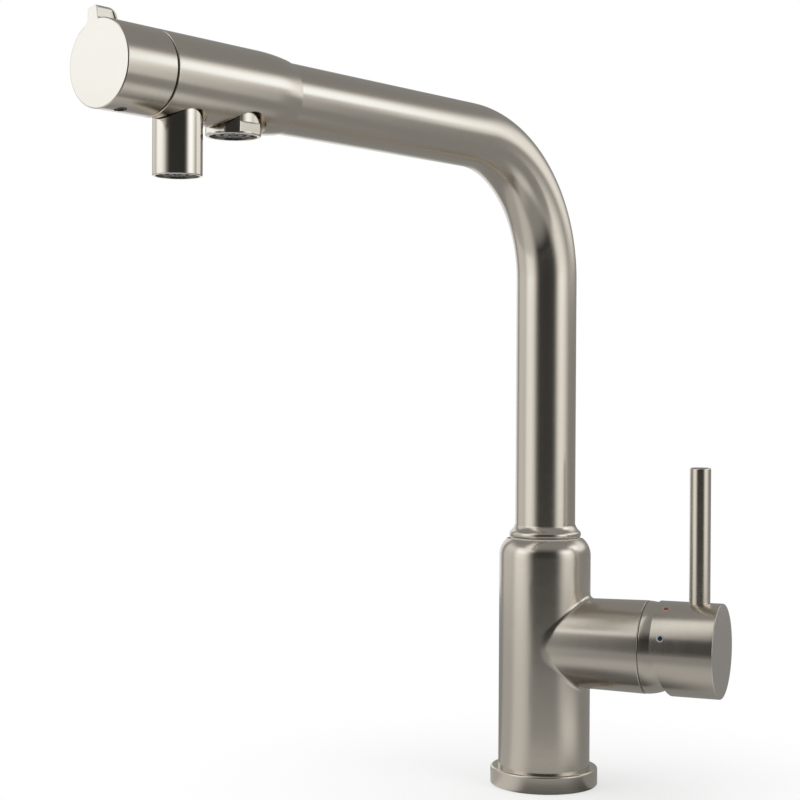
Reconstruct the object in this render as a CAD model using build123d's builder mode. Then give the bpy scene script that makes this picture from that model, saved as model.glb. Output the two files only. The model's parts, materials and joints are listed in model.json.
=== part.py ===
from build123d import *

import os
from math import asin, cos, degrees, radians, sin, sqrt, tan

# Kitchen mixer tap with a third outlet for filtered water.
# Millimetres. The origin is the centre of the base's underside, +Z is up, the lever's
# branch points along +X and the user stands on the -Y side.

os.makedirs("parts", exist_ok=True)

# Clearances
run_gap = 0.08  # radial play of a shaft in its bush
seat_gap = 0.05  # between pieces pushed or screwed into each other
free_gap = 0.3  # between moving pieces that never touch
face_gap = 0.1  # between flat faces that slide past each other
overrun = 1.0  # length of a cut past the face that it breaks through
key_share = 0.56  # radius of a hexagon socket as a share of its screw's radius
ring_sides = 8  # of a rubber ring's section

# Base flange
base_radius = 25.0
base_height = 8.4
base_edge = 1.0
gasket_width = 2.9
gasket_thickness = 2.0
base_ring_section = 1.3

# Body column
body_radius = 21.35
body_height = 115.0
body_lift = 1.0  # from the worktop to the casting's underside
shoulder_drop = 7.8
shoulder_flat_radius = 17.85
spigot_step = 2.0

# Side branch
branch_height = 67.05
branch_length = 49.8
branch_root_radius = 20.45
branch_end_radius = 21.3
branch_blend = 2.4

# Connections in the underside
inlet_radius = 4.46
inlet_depth = 12.0
inlet_forward = 9.0
inlet_side = 10.0
stud_radius = 3.32
stud_depth = 14.0
stud_side = 9.5
passage_radius = 3.5

# Spout bearing in the top of the body
bearing_depth = 25.0
shank_radius = 15.0
shank_bore_radius = 10.5
journal_step = 1.1
bush_height = 5.6
bush_setback = 1.0
thrust_thickness = 0.5
thrust_inset = 0.7
ring_groove_depth = 1.7
ring_groove_width = 2.2
ring_section = 1.86
groove_land = 1.0
stop_rise = 12.0
stop_groove_depth = 2.2
stop_groove_width = 3.2
stop_play = 1.2  # degrees between the screw's tip and the groove's end at full swing
stop_screw_radius = 2.5
stop_screw_sink = 0.9
stop_key_depth = 2.4
mix_chamber_radius = 9.0
mix_chamber_depth = 18.5

# Spout
tube_radius = 14.0
tube_wall = 1.5
tube_spigot = 11.0
tube_seat_rise = 0.4
bend_radius = 61.0
arm_height = 297.1
spout_turn = -17.45  # degrees from straight ahead, seen from above
swing_each_way = 70.0  # degrees either side of straight ahead
user_angle = 270.0  # degrees from the branch to the user
rear_angle = 90.0
collar_radius = 16.75
collar_height = 5.8
collar_bulge = 1.8
collar_waist = 3.1
collar_waist_step = 0.7
collar_lip = 0.15

# Filtered water riser
feed_radius = 5.0
feed_bore_radius = 3.0
riser_radius = 4.0
riser_bore_radius = 2.8
riser_socket_wall = 1.4
riser_overlap = 14.0
riser_shoulder = 3.0
riser_taper = 1.5
feed_drop = 13.0
feed_ring_section = 1.0
feed_ring_groove = 1.3
feed_ring_pitch = 3.0

# Spout head
head_radius = 15.9
head_start = 181.5
head_nose = 3.1
head_shoulder = 15.0
head_lip = 0.35
socket_depth = 9.0
head_chamber_radius = 7.5
valve_bore_radius = 10.5
valve_mouth_radius = 11.0
valve_mouth_depth = 6.1
valve_room = 28.1
valve_wall = 3.5

# Main outlet
main_outlet_land = 1.4
main_outlet_radius = 10.5
main_outlet_drop = 2.2
main_outlet_gap = 2.0
main_outlet_seat = 6.6
main_thread_radius = 8.8
main_aerator_wall = 1.5
main_aerator_rings = 4
spanner_flats = 4
spanner_flat_height = 3.7
spanner_flat_rise = 0.8
spanner_flat_depth = 1.0
spanner_flat_turn = -6.0  # degrees

# Filtered water outlet
filter_outlet_land = 5.1
filter_outlet_radius = 9.2
filter_outlet_drop = 19.9
filter_outlet_gap = 1.3
filter_outlet_seat = 3.9
filter_thread_radius = 7.4
filter_aerator_wall = 1.2
filter_aerator_rings = 3
spigot_wall = 1.2
thread_length = 2.4
aerator_depth = 4.0
aerator_recess = 0.6
aerator_rim = 0.9
aerator_slot_depth = 0.8
aerator_slot_share = 0.45  # of the pitch from ring to ring
washer_thickness = 1.3
washer_lip = 0.6

# Filter knob
knob_gap = 0.3
knob_length = 23.2
knob_edge = 0.45
knob_lean = 10.5  # degrees that the tab leans over at rest
tab_width = 4.4
tab_depth = 9.3
tab_height = 4.8
tab_round = 3.2
tab_edge = 1.0
tab_root = 2.0
knob_room = 5.0
knob_wall = 2.4
hub_radius = 7.5
screw_radius = 2.0
screw_key_depth = 2.0
plug_depth = 3.2
plug_sink = 0.5
plug_radius = 2.3
plug_from_face = 7.5

# Filter valve
valve_radius = 9.0
valve_hollow = 7.0
valve_disc_thickness = 3.0
valve_floor_thickness = 2.5
valve_foot_length = 3.4
valve_flange_thickness = 3.0
valve_ring_section = 1.3
valve_ring_at = 1.6
nipple_radius = 5.0
nipple_length = 4.5
pipe_insert = 6.0
window_length = 5.0
valve_port_orbit = 4.0
valve_port_length = 2.4
valve_port_width = 3.4
nut_setback = 0.4
nut_hole_inset = 2.4
nut_hole_radius = 1.1
nut_hole_depth = 1.6
spindle_radius = 4.0
spindle_length = 34.0
spindle_waist = 3.2
spindle_dog = 1.6
spindle_ring_section = 1.0

# Lever cartridge
pocket_radius = 17.6
pocket_depth = 25.8
mouth_thread = 1.0
base_plate_thickness = 3.6
port_seal_height = 1.2
port_seal_wall = 1.5
port_side = 7.5
port_low = -3.0
port_high = 8.0
port_radius = 2.8
disc_radius = 12.5
disc_thickness = 3.0
moving_disc_radius = 9.6
moving_disc_offset = 3.0
mix_slot_length = 6.0
mix_slot_width = 7.0
mix_slot_depth = 1.8
disc_carrier_thickness = 3.4
disc_carrier_floor = 0.6
carrier_flange_thickness = 2.6
cartridge_wall = 2.5
collar_neck_radius = 12.4
collar_neck_reach = 1.0
neck_radius = 11.0
neck_reach = 2.8
slot_play = 1.2
stem_half_width = 4.0
stem_arm = 12.6
foot_radius = 2.6
foot_half_width = 2.8
arm_half = 2.2
stem_reach = 21.5
pin_radius = 1.5
pin_inset = 0.4
nut_nose_step = 2.0
nut_nose_reach = 3.2
nut_key_length = 6.0
nut_key_width = 3.0
nut_key_depth = 2.2

# Dome and handle
dome_radius = 21.15
dome_wall = 1.8
dome_reach = 12.4
handle_radius = 21.5
handle_setback = 5.7
handle_length = 28.4
handle_edge = 0.4
handle_cut_angle = 17.3
boss_wall = 2.4
boss_length = 9.0
grub_setback = 4.0
grub_length = 4.0
lift_range = 25.0  # degrees that the lever tips outwards to open
rod_radius = 4.75
rod_from_face = 10.4
rod_top = 149.7
rod_edge = 0.8
rod_sink = 4.0
rod_thread_radius = 3.0
rod_thread_length = 6.5
dot_radius = 1.7
dot_depth = 0.5
dot_setback = 4.9
hot_dot_angle = 26.9
cold_dot_angle = 70.8

# Directions and planes
heading_angle = user_angle + spout_turn
tube_end = head_start + socket_depth
main_seat_radius = main_outlet_radius + main_outlet_gap
filter_seat_radius = filter_outlet_radius + filter_outlet_gap
main_outlet_at = tube_end + main_outlet_land + main_seat_radius
filter_outlet_at = main_outlet_at + main_seat_radius + filter_outlet_land + filter_seat_radius
head_end = filter_outlet_at + filter_seat_radius + head_nose
heading = Vector(cos(radians(heading_angle)), sin(radians(heading_angle)), 0)
across = heading.cross(Vector(0, 0, 1))
spout_side = Plane(origin=(0, 0, 0), x_dir=heading, z_dir=across)
arm_side = Plane(origin=(0, 0, arm_height), x_dir=heading, z_dir=across)
arm_axis = Axis((0, 0, arm_height), heading)
branch_side = Plane(origin=(0, 0, branch_height), x_dir=(1, 0, 0), z_dir=(0, -1, 0))
branch_axis = Axis((0, 0, branch_height), (1, 0, 0))


def branch_end(x):
    """Plane square to the branch at x, with its own x along +Y and y along +Z."""
    return Plane(origin=(x, 0, branch_height), x_dir=(0, 1, 0), z_dir=(1, 0, 0))


def below_arm(s, drop):
    """Level plane under the arm's axis at s along it, looking down."""
    place = heading * s + Vector(0, 0, arm_height - drop)
    return Plane(origin=place, x_dir=heading, z_dir=(0, 0, -1))


def turn(points, plane, axis, mode=Mode.ADD):
    """Turn a closed outline of straight lines about an axis, as on a lathe."""
    with BuildSketch(plane) as outline:
        with BuildLine():
            Polyline(*points, close=True)
        make_face()
    revolve(outline.sketch, axis=axis, mode=mode)


def ring_outline(inner, outer, low, high):
    """Corners of a plain ring's section, radius first."""
    return [(inner, low), (outer, low), (outer, high), (inner, high)]


def disc_outline(low, high, inner, outer):
    """Corners of a plain ring's section, distance along the axis first."""
    return [(low, inner), (low, outer), (high, outer), (high, inner)]


def seal_ring(plane, centre, section, axis):
    """Rubber ring: an eight-sided section at centre on the plane, turned about the axis."""
    with BuildSketch(plane) as cord:
        with Locations(centre):
            RegularPolygon(radius=section / 2, side_count=ring_sides)
    revolve(cord.sketch, axis=axis)


# Base flange: the ring that the column stands in
spigot_radius = body_radius - spigot_step
flange_bore = spigot_radius + seat_gap
gasket_inner = (flange_bore + base_radius - gasket_width) / 2

with BuildPart() as base_flange:
    turn(ring_outline(flange_bore, base_radius, 0, base_height), Plane.XZ, Axis.Z)
    outer_edges = base_flange.edges().filter_by(GeomType.CIRCLE).sort_by(SortBy.RADIUS)[-2:]
    fillet(outer_edges, base_edge)
    turn(
        ring_outline(gasket_inner, gasket_inner + gasket_width, 0, gasket_thickness),
        Plane.XZ,
        Axis.Z,
        Mode.SUBTRACT,
    )
base_flange.part.label = "base_flange"
export_step(base_flange.part, "parts/base_flange.step")

# Rubber gasket in the flange's underside, flush with it
with BuildPart() as base_gasket:
    turn(
        ring_outline(
            gasket_inner + seat_gap,
            gasket_inner + gasket_width - seat_gap,
            0,
            gasket_thickness,
        ),
        Plane.XZ,
        Axis.Z,
    )
base_gasket.part.label = "base_gasket"
export_step(base_gasket.part, "parts/base_gasket.step")

# O-ring between the column's spigot and the flange
base_ring_height = (body_lift + base_height) / 2

with BuildPart() as base_o_ring:
    seal_ring(
        Plane.XZ,
        (spigot_radius - base_ring_section / 2, base_ring_height),
        base_ring_section - 2 * seat_gap,
        Axis.Z,
    )
base_o_ring.part.label = "base_o_ring"
export_step(base_o_ring.part, "parts/base_o_ring.step")

# Body casting: column, side branch and every water way inside them
shoulder_start = body_height - shoulder_drop
bearing_bore = shank_radius + free_gap
bearing_floor = body_height - bearing_depth
mix_chamber_floor = bearing_floor - mix_chamber_depth
feed_seat = body_lift + inlet_depth
feed_hole_radius = feed_radius + seat_gap
pocket_floor = branch_length - pocket_depth
mouth_radius = pocket_radius + mouth_thread
base_plate_back = pocket_floor + face_gap
plate_front = base_plate_back + base_plate_thickness
fixed_disc_front = plate_front + disc_thickness
moving_disc_back = fixed_disc_front + seat_gap
moving_disc_front = moving_disc_back + disc_thickness
carrier_front = moving_disc_front + disc_carrier_thickness
carrier_flange_back = carrier_front + free_gap
carrier_flange_front = carrier_flange_back + carrier_flange_thickness
housing_wall_back = carrier_flange_front + face_gap
housing_wall_front = housing_wall_back + cartridge_wall
mouth_floor = housing_wall_front - face_gap
passage_top = branch_height + port_low + port_radius
stop_height = bearing_floor + stop_rise

with BuildPart() as body_casting:
    with BuildSketch(Plane.XZ):
        with BuildLine():
            column = Polyline(
                (0, body_lift),
                (spigot_radius, body_lift),
                (spigot_radius, base_height),
                (body_radius, base_height),
                (body_radius, shoulder_start),
            )
            shoulder = TangentArc(
                column @ 1, (shoulder_flat_radius, body_height), tangent=(0, 1)
            )
            Polyline(shoulder @ 1, (0, body_height), (0, body_lift))
        make_face()
    revolve(axis=Axis.Z)
    turn(
        [(0, 0), (0, branch_root_radius), (branch_length, branch_end_radius), (branch_length, 0)],
        branch_side,
        branch_axis,
    )
    seam_edges = body_casting.edges().filter_by(
        lambda edge: edge.geom_type not in (GeomType.LINE, GeomType.CIRCLE)
    )
    fillet(seam_edges, branch_blend)
    # Filtered water inlet, feed hole, mixing chamber and spout bearing, all on the axis
    turn(
        [
            (0, body_lift),
            (inlet_radius, body_lift),
            (inlet_radius, feed_seat),
            (feed_hole_radius, feed_seat),
            (feed_hole_radius, mix_chamber_floor),
            (mix_chamber_radius, mix_chamber_floor),
            (mix_chamber_radius, bearing_floor),
            (bearing_bore, bearing_floor),
            (bearing_bore, body_height),
            (0, body_height),
        ],
        Plane.XZ,
        Axis.Z,
        Mode.SUBTRACT,
    )
    # Cartridge pocket with its wider threaded mouth
    turn(
        [
            (pocket_floor, 0),
            (pocket_floor, pocket_radius),
            (mouth_floor, pocket_radius),
            (mouth_floor, mouth_radius),
            (branch_length, mouth_radius),
            (branch_length, 0),
        ],
        branch_side,
        branch_axis,
        Mode.SUBTRACT,
    )
    # Groove for the base O-ring
    turn(
        ring_outline(
            spigot_radius - base_ring_section,
            spigot_radius + overrun,
            base_ring_height - base_ring_section / 2,
            base_ring_height + base_ring_section / 2,
        ),
        Plane.XZ,
        Axis.Z,
        Mode.SUBTRACT,
    )
    # Hot and cold: threaded inlets, then passages up to the cartridge ports
    with BuildSketch(Plane.XY.offset(body_lift)):
        with Locations((inlet_forward, inlet_side), (inlet_forward, -inlet_side)):
            Circle(inlet_radius)
    extrude(amount=inlet_depth, mode=Mode.SUBTRACT)
    with BuildSketch(Plane.XY.offset(body_lift)):
        with Locations((inlet_forward, inlet_side), (inlet_forward, -inlet_side)):
            Circle(passage_radius)
    extrude(amount=passage_top - body_lift, mode=Mode.SUBTRACT)
    with BuildSketch(branch_end(inlet_forward)):
        with Locations((port_side, port_low), (-port_side, port_low)):
            Circle(port_radius)
    extrude(amount=pocket_floor - inlet_forward, mode=Mode.SUBTRACT)
    # Mixed water way from the cartridge back to the mixing chamber
    with BuildSketch(branch_end(mix_chamber_radius - passage_radius)):
        with Locations((0, port_high)):
            Circle(port_radius)
    extrude(amount=pocket_floor - mix_chamber_radius + passage_radius, mode=Mode.SUBTRACT)
    # Two blind threaded holes for the fixing studs
    with BuildSketch(Plane.XY.offset(body_lift)):
        with Locations((-inlet_forward, stud_side), (-inlet_forward, -stud_side)):
            Circle(stud_radius)
    extrude(amount=stud_depth, mode=Mode.SUBTRACT)
    # Threaded hole in the rear for the spout's stop screw
    with BuildSketch(Plane(origin=(0, 0, stop_height), x_dir=(1, 0, 0), z_dir=(0, 1, 0))):
        Circle(stop_screw_radius + seat_gap)
    extrude(amount=body_radius + overrun, mode=Mode.SUBTRACT)
body_casting.part.label = "body_casting"
export_step(body_casting.part, "parts/body_casting.step")

# Plastic bushes that carry the spout's shank in the bearing
journal_radius = shank_radius - journal_step
bush_inner = journal_radius + run_gap
bush_outer = bearing_bore - seat_gap
lower_bush_top = bearing_floor + bush_height
upper_bush_bottom = body_height - bush_height - bush_setback
thrust_radius = collar_radius - thrust_inset
thrust_top = body_height + thrust_thickness

with BuildPart() as lower_swivel_bush:
    turn(ring_outline(bush_inner, bush_outer, bearing_floor, lower_bush_top), Plane.XZ, Axis.Z)
lower_swivel_bush.part.label = "lower_swivel_bush"
export_step(lower_swivel_bush.part, "parts/lower_swivel_bush.step")

with BuildPart() as upper_swivel_bush:
    turn(
        [
            (bush_inner, upper_bush_bottom),
            (bush_outer, upper_bush_bottom),
            (bush_outer, body_height),
            (thrust_radius, body_height),
            (thrust_radius, thrust_top),
            (bush_inner, thrust_top),
        ],
        Plane.XZ,
        Axis.Z,
    )
upper_swivel_bush.part.label = "upper_swivel_bush"
export_step(upper_swivel_bush.part, "parts/upper_swivel_bush.step")

# Spout shank: the turned nipple that swivels in the body
collar_bottom = thrust_top + face_gap
tube_seat = collar_bottom + tube_seat_rise
shank_bottom = bearing_floor + free_gap
shank_step_low = lower_bush_top + face_gap
shank_step_high = upper_bush_bottom - face_gap
ring_offset = stop_groove_width / 2 + ring_groove_width / 2 + groove_land
groove_heights = (stop_height - ring_offset, stop_height + ring_offset)
groove_floor = shank_radius - ring_groove_depth
stop_floor = shank_radius - stop_groove_depth
tube_bore = tube_radius - tube_wall
stop_tip_radius = stop_groove_width / 2 - free_gap / 2
stop_tip_angle = degrees(asin(stop_tip_radius / stop_floor)) + stop_play
stop_arc_start = rear_angle - swing_each_way + spout_turn - stop_tip_angle
stop_arc = 2 * (swing_each_way + stop_tip_angle)
stop_side = Plane(
    origin=(0, 0, 0),
    x_dir=(cos(radians(stop_arc_start)), sin(radians(stop_arc_start)), 0),
    z_dir=(sin(radians(stop_arc_start)), -cos(radians(stop_arc_start)), 0),
)

with BuildPart() as spout_shank:
    turn(
        [
            (shank_bore_radius, shank_bottom),
            (journal_radius, shank_bottom),
            (journal_radius, shank_step_low),
            (shank_radius, shank_step_low),
            (shank_radius, shank_step_high),
            (journal_radius, shank_step_high),
            (journal_radius, tube_seat),
            (tube_bore - seat_gap, tube_seat),
            (tube_bore - seat_gap, tube_seat + tube_spigot),
            (shank_bore_radius, tube_seat + tube_spigot),
        ],
        Plane.XZ,
        Axis.Z,
    )
    for height in groove_heights:
        turn(
            ring_outline(
                groove_floor,
                shank_radius + overrun,
                height - ring_groove_width / 2,
                height + ring_groove_width / 2,
            ),
            Plane.XZ,
            Axis.Z,
            Mode.SUBTRACT,
        )
    with BuildSketch(stop_side) as stop_slot:
        with Locations(((stop_floor + shank_radius + overrun) / 2, stop_height)):
            Rectangle(shank_radius + overrun - stop_floor, stop_groove_width)
    revolve(axis=Axis.Z, revolution_arc=stop_arc, mode=Mode.SUBTRACT)
spout_shank.part.label = "spout_shank"
export_step(spout_shank.part, "parts/spout_shank.step")

with BuildPart() as shank_o_rings:
    for height in groove_heights:
        seal_ring(
            Plane.XZ, (groove_floor + ring_section / 2 + seat_gap, height), ring_section, Axis.Z
        )
shank_o_rings.part.label = "shank_o_rings"
export_step(shank_o_rings.part, "parts/shank_o_rings.step")

# Stop screw: holds the shank down and ends the spout's swing
stop_head = body_radius - stop_screw_sink
stop_neck = bearing_bore + free_gap
stop_tip = stop_floor + free_gap

with BuildPart() as spout_stop_screw:
    stop_line = Axis((0, 0, stop_height), (0, 1, 0))
    stop_plane = Plane(origin=(0, 0, stop_height), x_dir=(0, 1, 0), z_dir=(1, 0, 0))
    turn(
        [
            (stop_tip, 0),
            (stop_tip, stop_tip_radius),
            (stop_neck, stop_tip_radius),
            (stop_neck, stop_screw_radius),
            (stop_head, stop_screw_radius),
            (stop_head, 0),
        ],
        stop_plane,
        stop_line,
    )
    with BuildSketch(Plane(origin=(0, stop_head, stop_height), x_dir=(1, 0, 0), z_dir=(0, 1, 0))):
        RegularPolygon(radius=stop_screw_radius * key_share, side_count=6)
    extrude(amount=-stop_key_depth, mode=Mode.SUBTRACT)
spout_stop_screw.part.label = "spout_stop_screw"
export_step(spout_stop_screw.part, "parts/spout_stop_screw.step")

# Feed pipe: brings filtered water up the middle of the body to the spout
feed_top = tube_seat - feed_drop
socket_bottom = feed_top - riser_overlap
socket_bore = feed_radius + face_gap
socket_outer = socket_bore + riser_socket_wall
feed_ring_heights = (feed_top - feed_ring_pitch, feed_top - 2 * feed_ring_pitch)

with BuildPart() as filter_feed_pipe:
    turn(ring_outline(feed_bore_radius, feed_radius, feed_seat, feed_top), Plane.XZ, Axis.Z)
    for height in feed_ring_heights:
        turn(
            ring_outline(
                feed_radius - feed_ring_section,
                feed_radius + overrun,
                height - feed_ring_groove / 2,
                height + feed_ring_groove / 2,
            ),
            Plane.XZ,
            Axis.Z,
            Mode.SUBTRACT,
        )
filter_feed_pipe.part.label = "filter_feed_pipe"
export_step(filter_feed_pipe.part, "parts/filter_feed_pipe.step")

with BuildPart() as feed_pipe_o_rings:
    for height in feed_ring_heights:
        seal_ring(
            Plane.XZ,
            (feed_radius - feed_ring_section / 2 + seat_gap / 2, height),
            feed_ring_section - seat_gap,
            Axis.Z,
        )
feed_pipe_o_rings.part.label = "feed_pipe_o_rings"
export_step(feed_pipe_o_rings.part, "parts/feed_pipe_o_rings.step")

# Collar where the spout leaves the body
collar_top = collar_bottom + collar_height
collar_bore = tube_radius + seat_gap

waist_radius = collar_radius - collar_waist_step
waist_height = collar_bottom + collar_waist
lip_radius = collar_bore + collar_lip

with BuildPart() as spout_collar:
    with BuildSketch(Plane.XZ):
        with BuildLine():
            ThreePointArc(
                (waist_radius, collar_bottom),
                (collar_radius, collar_bottom + collar_bulge),
                (waist_radius, waist_height),
            )
            ThreePointArc(
                (waist_radius, waist_height),
                ((waist_radius + lip_radius) / 2 - 2 * collar_lip, (waist_height + collar_top) / 2),
                (lip_radius, collar_top),
            )
            Polyline(
                (lip_radius, collar_top),
                (collar_bore, collar_top),
                (collar_bore, collar_bottom),
                (waist_radius, collar_bottom),
            )
        make_face()
    revolve(axis=Axis.Z)
spout_collar.part.label = "spout_collar"
export_step(spout_collar.part, "parts/spout_collar.step")

# Spout tube: up, round one bend and out along the arm
with BuildPart() as spout_tube:
    with BuildLine(spout_side):
        FilletPolyline((0, tube_seat), (0, arm_height), (tube_end, arm_height), radius=bend_radius)
    with BuildSketch(Plane.XY.offset(tube_seat)):
        Circle(tube_radius)
        Circle(tube_bore, mode=Mode.SUBTRACT)
    sweep()
spout_tube.part.label = "spout_tube"
export_step(spout_tube.part, "parts/spout_tube.step")

# Spout head: tube socket, mixed water chamber, cross wall and valve bore
head_full = head_start + head_shoulder
valve_wall_front = head_end - valve_room
valve_wall_back = valve_wall_front - valve_wall
main_seat_drop = head_radius - main_outlet_seat
filter_seat_drop = head_radius - filter_outlet_seat

with BuildPart() as spout_head:
    with BuildSketch(arm_side):
        with BuildLine():
            straight = Line((head_end, head_radius), (head_full, head_radius))
            slope = TangentArc(
                straight @ 1, (head_start, tube_radius + head_lip), tangent=(-1, 0)
            )
            Polyline(slope @ 1, (head_start, 0), (head_end, 0), (head_end, head_radius))
        make_face()
    revolve(axis=arm_axis)
    turn(
        [
            (head_start, 0),
            (head_start, tube_radius + seat_gap),
            (tube_end, tube_radius + seat_gap),
            (tube_end, head_chamber_radius),
            (valve_wall_back, head_chamber_radius),
            (valve_wall_back, nipple_radius + seat_gap),
            (valve_wall_front, nipple_radius + seat_gap),
            (valve_wall_front, valve_bore_radius),
            (head_end - valve_mouth_depth, valve_bore_radius),
            (head_end - valve_mouth_depth, valve_mouth_radius),
            (head_end, valve_mouth_radius),
            (head_end, 0),
        ],
        arm_side,
        arm_axis,
        Mode.SUBTRACT,
    )
    with BuildSketch(below_arm(main_outlet_at, main_seat_drop)):
        Circle(main_seat_radius)
    extrude(amount=main_outlet_seat + overrun, mode=Mode.SUBTRACT)
    with BuildSketch(below_arm(main_outlet_at, 0)):
        Circle(main_thread_radius + seat_gap)
    extrude(amount=head_radius, mode=Mode.SUBTRACT)
    with BuildSketch(below_arm(filter_outlet_at, filter_seat_drop)):
        Circle(filter_seat_radius)
    extrude(amount=filter_outlet_seat + overrun, mode=Mode.SUBTRACT)
    with BuildSketch(below_arm(filter_outlet_at, 0)):
        Circle(filter_thread_radius + seat_gap)
    extrude(amount=head_radius, mode=Mode.SUBTRACT)
spout_head.part.label = "spout_head"
export_step(spout_head.part, "parts/spout_head.step")

# Rigid inner pipe of the spout, from its rotary socket to the filter valve
valve_back = valve_wall_back - nipple_length
pipe_end = valve_back + pipe_insert
riser_neck = feed_top + riser_shoulder

with BuildPart() as filter_pipe:
    with BuildLine(spout_side):
        FilletPolyline((0, feed_top), (0, arm_height), (pipe_end, arm_height), radius=bend_radius)
    with BuildSketch(Plane.XY.offset(feed_top)):
        Circle(riser_radius)
        Circle(riser_bore_radius, mode=Mode.SUBTRACT)
    sweep()
    turn(
        [
            (socket_bore, socket_bottom),
            (socket_outer, socket_bottom),
            (socket_outer, riser_neck),
            (riser_radius, riser_neck + riser_taper),
            (riser_bore_radius, riser_neck + riser_taper),
            (riser_bore_radius, feed_top + free_gap),
            (socket_bore, feed_top + free_gap),
        ],
        Plane.XZ,
        Axis.Z,
    )
    turn(
        ring_outline(0, socket_bore, socket_bottom, feed_top + free_gap),
        Plane.XZ,
        Axis.Z,
        Mode.SUBTRACT,
    )
filter_pipe.part.label = "filter_pipe"
export_step(filter_pipe.part, "parts/filter_pipe.step")


def outlet_body(at, radius, thread_radius, seat_drop, drop, aerator_radius):
    """Outlet shell under the arm: threaded spigot, shoulder and aerator pocket."""
    low = head_radius + drop
    top = seat_drop - thread_length
    with BuildSketch(below_arm(at, seat_drop)) as shell:
        Circle(radius)
    extrude(shell.sketch, amount=low - seat_drop)
    with BuildSketch(below_arm(at, top)) as spigot:
        Circle(thread_radius)
    extrude(spigot.sketch, amount=thread_length)
    with BuildSketch(below_arm(at, top)) as water_way:
        Circle(thread_radius - spigot_wall)
    extrude(water_way.sketch, amount=low - top, mode=Mode.SUBTRACT)
    with BuildSketch(below_arm(at, low - aerator_depth - washer_thickness)) as pocket:
        Circle(aerator_radius + seat_gap)
    extrude(pocket.sketch, amount=aerator_depth + washer_thickness, mode=Mode.SUBTRACT)


def aerator(at, drop, radius, ring_count):
    """Round perforated insert with raised rings on its face."""
    top = head_radius + drop - aerator_depth
    with BuildSketch(below_arm(at, top)) as plug:
        Circle(radius)
    extrude(plug.sketch, amount=aerator_depth - aerator_recess)
    slot_floor = head_radius + drop - aerator_recess - aerator_slot_depth
    pitch = radius / ring_count
    for ring in range(ring_count):
        outer = radius - aerator_rim - ring * pitch
        with BuildSketch(below_arm(at, slot_floor)) as slot:
            Circle(outer)
            Circle(outer - pitch * aerator_slot_share, mode=Mode.SUBTRACT)
        extrude(slot.sketch, amount=aerator_slot_depth + overrun, mode=Mode.SUBTRACT)


def flat_washer(at, drop, outer, inner):
    """Rubber washer pressed over the aerator."""
    top = head_radius + drop - aerator_depth - washer_thickness
    with BuildSketch(below_arm(at, top)) as washer:
        Circle(outer)
        Circle(inner, mode=Mode.SUBTRACT)
    extrude(washer.sketch, amount=washer_thickness)


# Main outlet: short aerator housing with four spanner flats
main_aerator_radius = main_outlet_radius - main_aerator_wall
flat_top = head_radius + main_outlet_drop - spanner_flat_rise - spanner_flat_height

with BuildPart() as main_outlet:
    outlet_body(
        main_outlet_at,
        main_outlet_radius,
        main_thread_radius,
        main_seat_drop,
        main_outlet_drop,
        main_aerator_radius,
    )
    with BuildSketch(below_arm(main_outlet_at, flat_top)):
        with PolarLocations(main_outlet_radius, spanner_flats, start_angle=spanner_flat_turn):
            Rectangle(2 * spanner_flat_depth, main_outlet_radius)
    extrude(amount=spanner_flat_height, mode=Mode.SUBTRACT)
main_outlet.part.label = "main_outlet"
export_step(main_outlet.part, "parts/main_outlet.step")

with BuildPart() as main_aerator:
    aerator(main_outlet_at, main_outlet_drop, main_aerator_radius, main_aerator_rings)
main_aerator.part.label = "main_aerator"
export_step(main_aerator.part, "parts/main_aerator.step")

with BuildPart() as main_aerator_washer:
    flat_washer(
        main_outlet_at,
        main_outlet_drop,
        main_aerator_radius,
        main_thread_radius - spigot_wall - washer_lip,
    )
main_aerator_washer.part.label = "main_aerator_washer"
export_step(main_aerator_washer.part, "parts/main_aerator_washer.step")

# Filtered water outlet: a plain round spout pipe
filter_aerator_radius = filter_outlet_radius - filter_aerator_wall

with BuildPart() as filter_outlet:
    outlet_body(
        filter_outlet_at,
        filter_outlet_radius,
        filter_thread_radius,
        filter_seat_drop,
        filter_outlet_drop,
        filter_aerator_radius,
    )
filter_outlet.part.label = "filter_outlet"
export_step(filter_outlet.part, "parts/filter_outlet.step")

with BuildPart() as filter_aerator:
    aerator(filter_outlet_at, filter_outlet_drop, filter_aerator_radius, filter_aerator_rings)
filter_aerator.part.label = "filter_aerator"
export_step(filter_aerator.part, "parts/filter_aerator.step")

with BuildPart() as filter_aerator_washer:
    flat_washer(
        filter_outlet_at,
        filter_outlet_drop,
        filter_aerator_radius,
        filter_thread_radius - spigot_wall - washer_lip,
    )
filter_aerator_washer.part.label = "filter_aerator_washer"
export_step(filter_aerator_washer.part, "parts/filter_aerator_washer.step")

# Filter valve: quarter-turn ceramic head held in the spout head's bore
flange_back = head_end - valve_mouth_depth
valve_floor = valve_wall_front + valve_floor_thickness
valve_foot_front = valve_wall_front + valve_foot_length
valve_ring_place = valve_wall_front + valve_ring_at
valve_groove_floor = valve_bore_radius - seat_gap - valve_ring_section
housing_front = flange_back + valve_flange_thickness
valve_disc_radius = valve_hollow - seat_gap
fixed_front = valve_floor + valve_disc_thickness
moving_back = fixed_front + seat_gap
moving_front = moving_back + valve_disc_thickness
window_middle = moving_front + free_gap + window_length / 2

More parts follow.
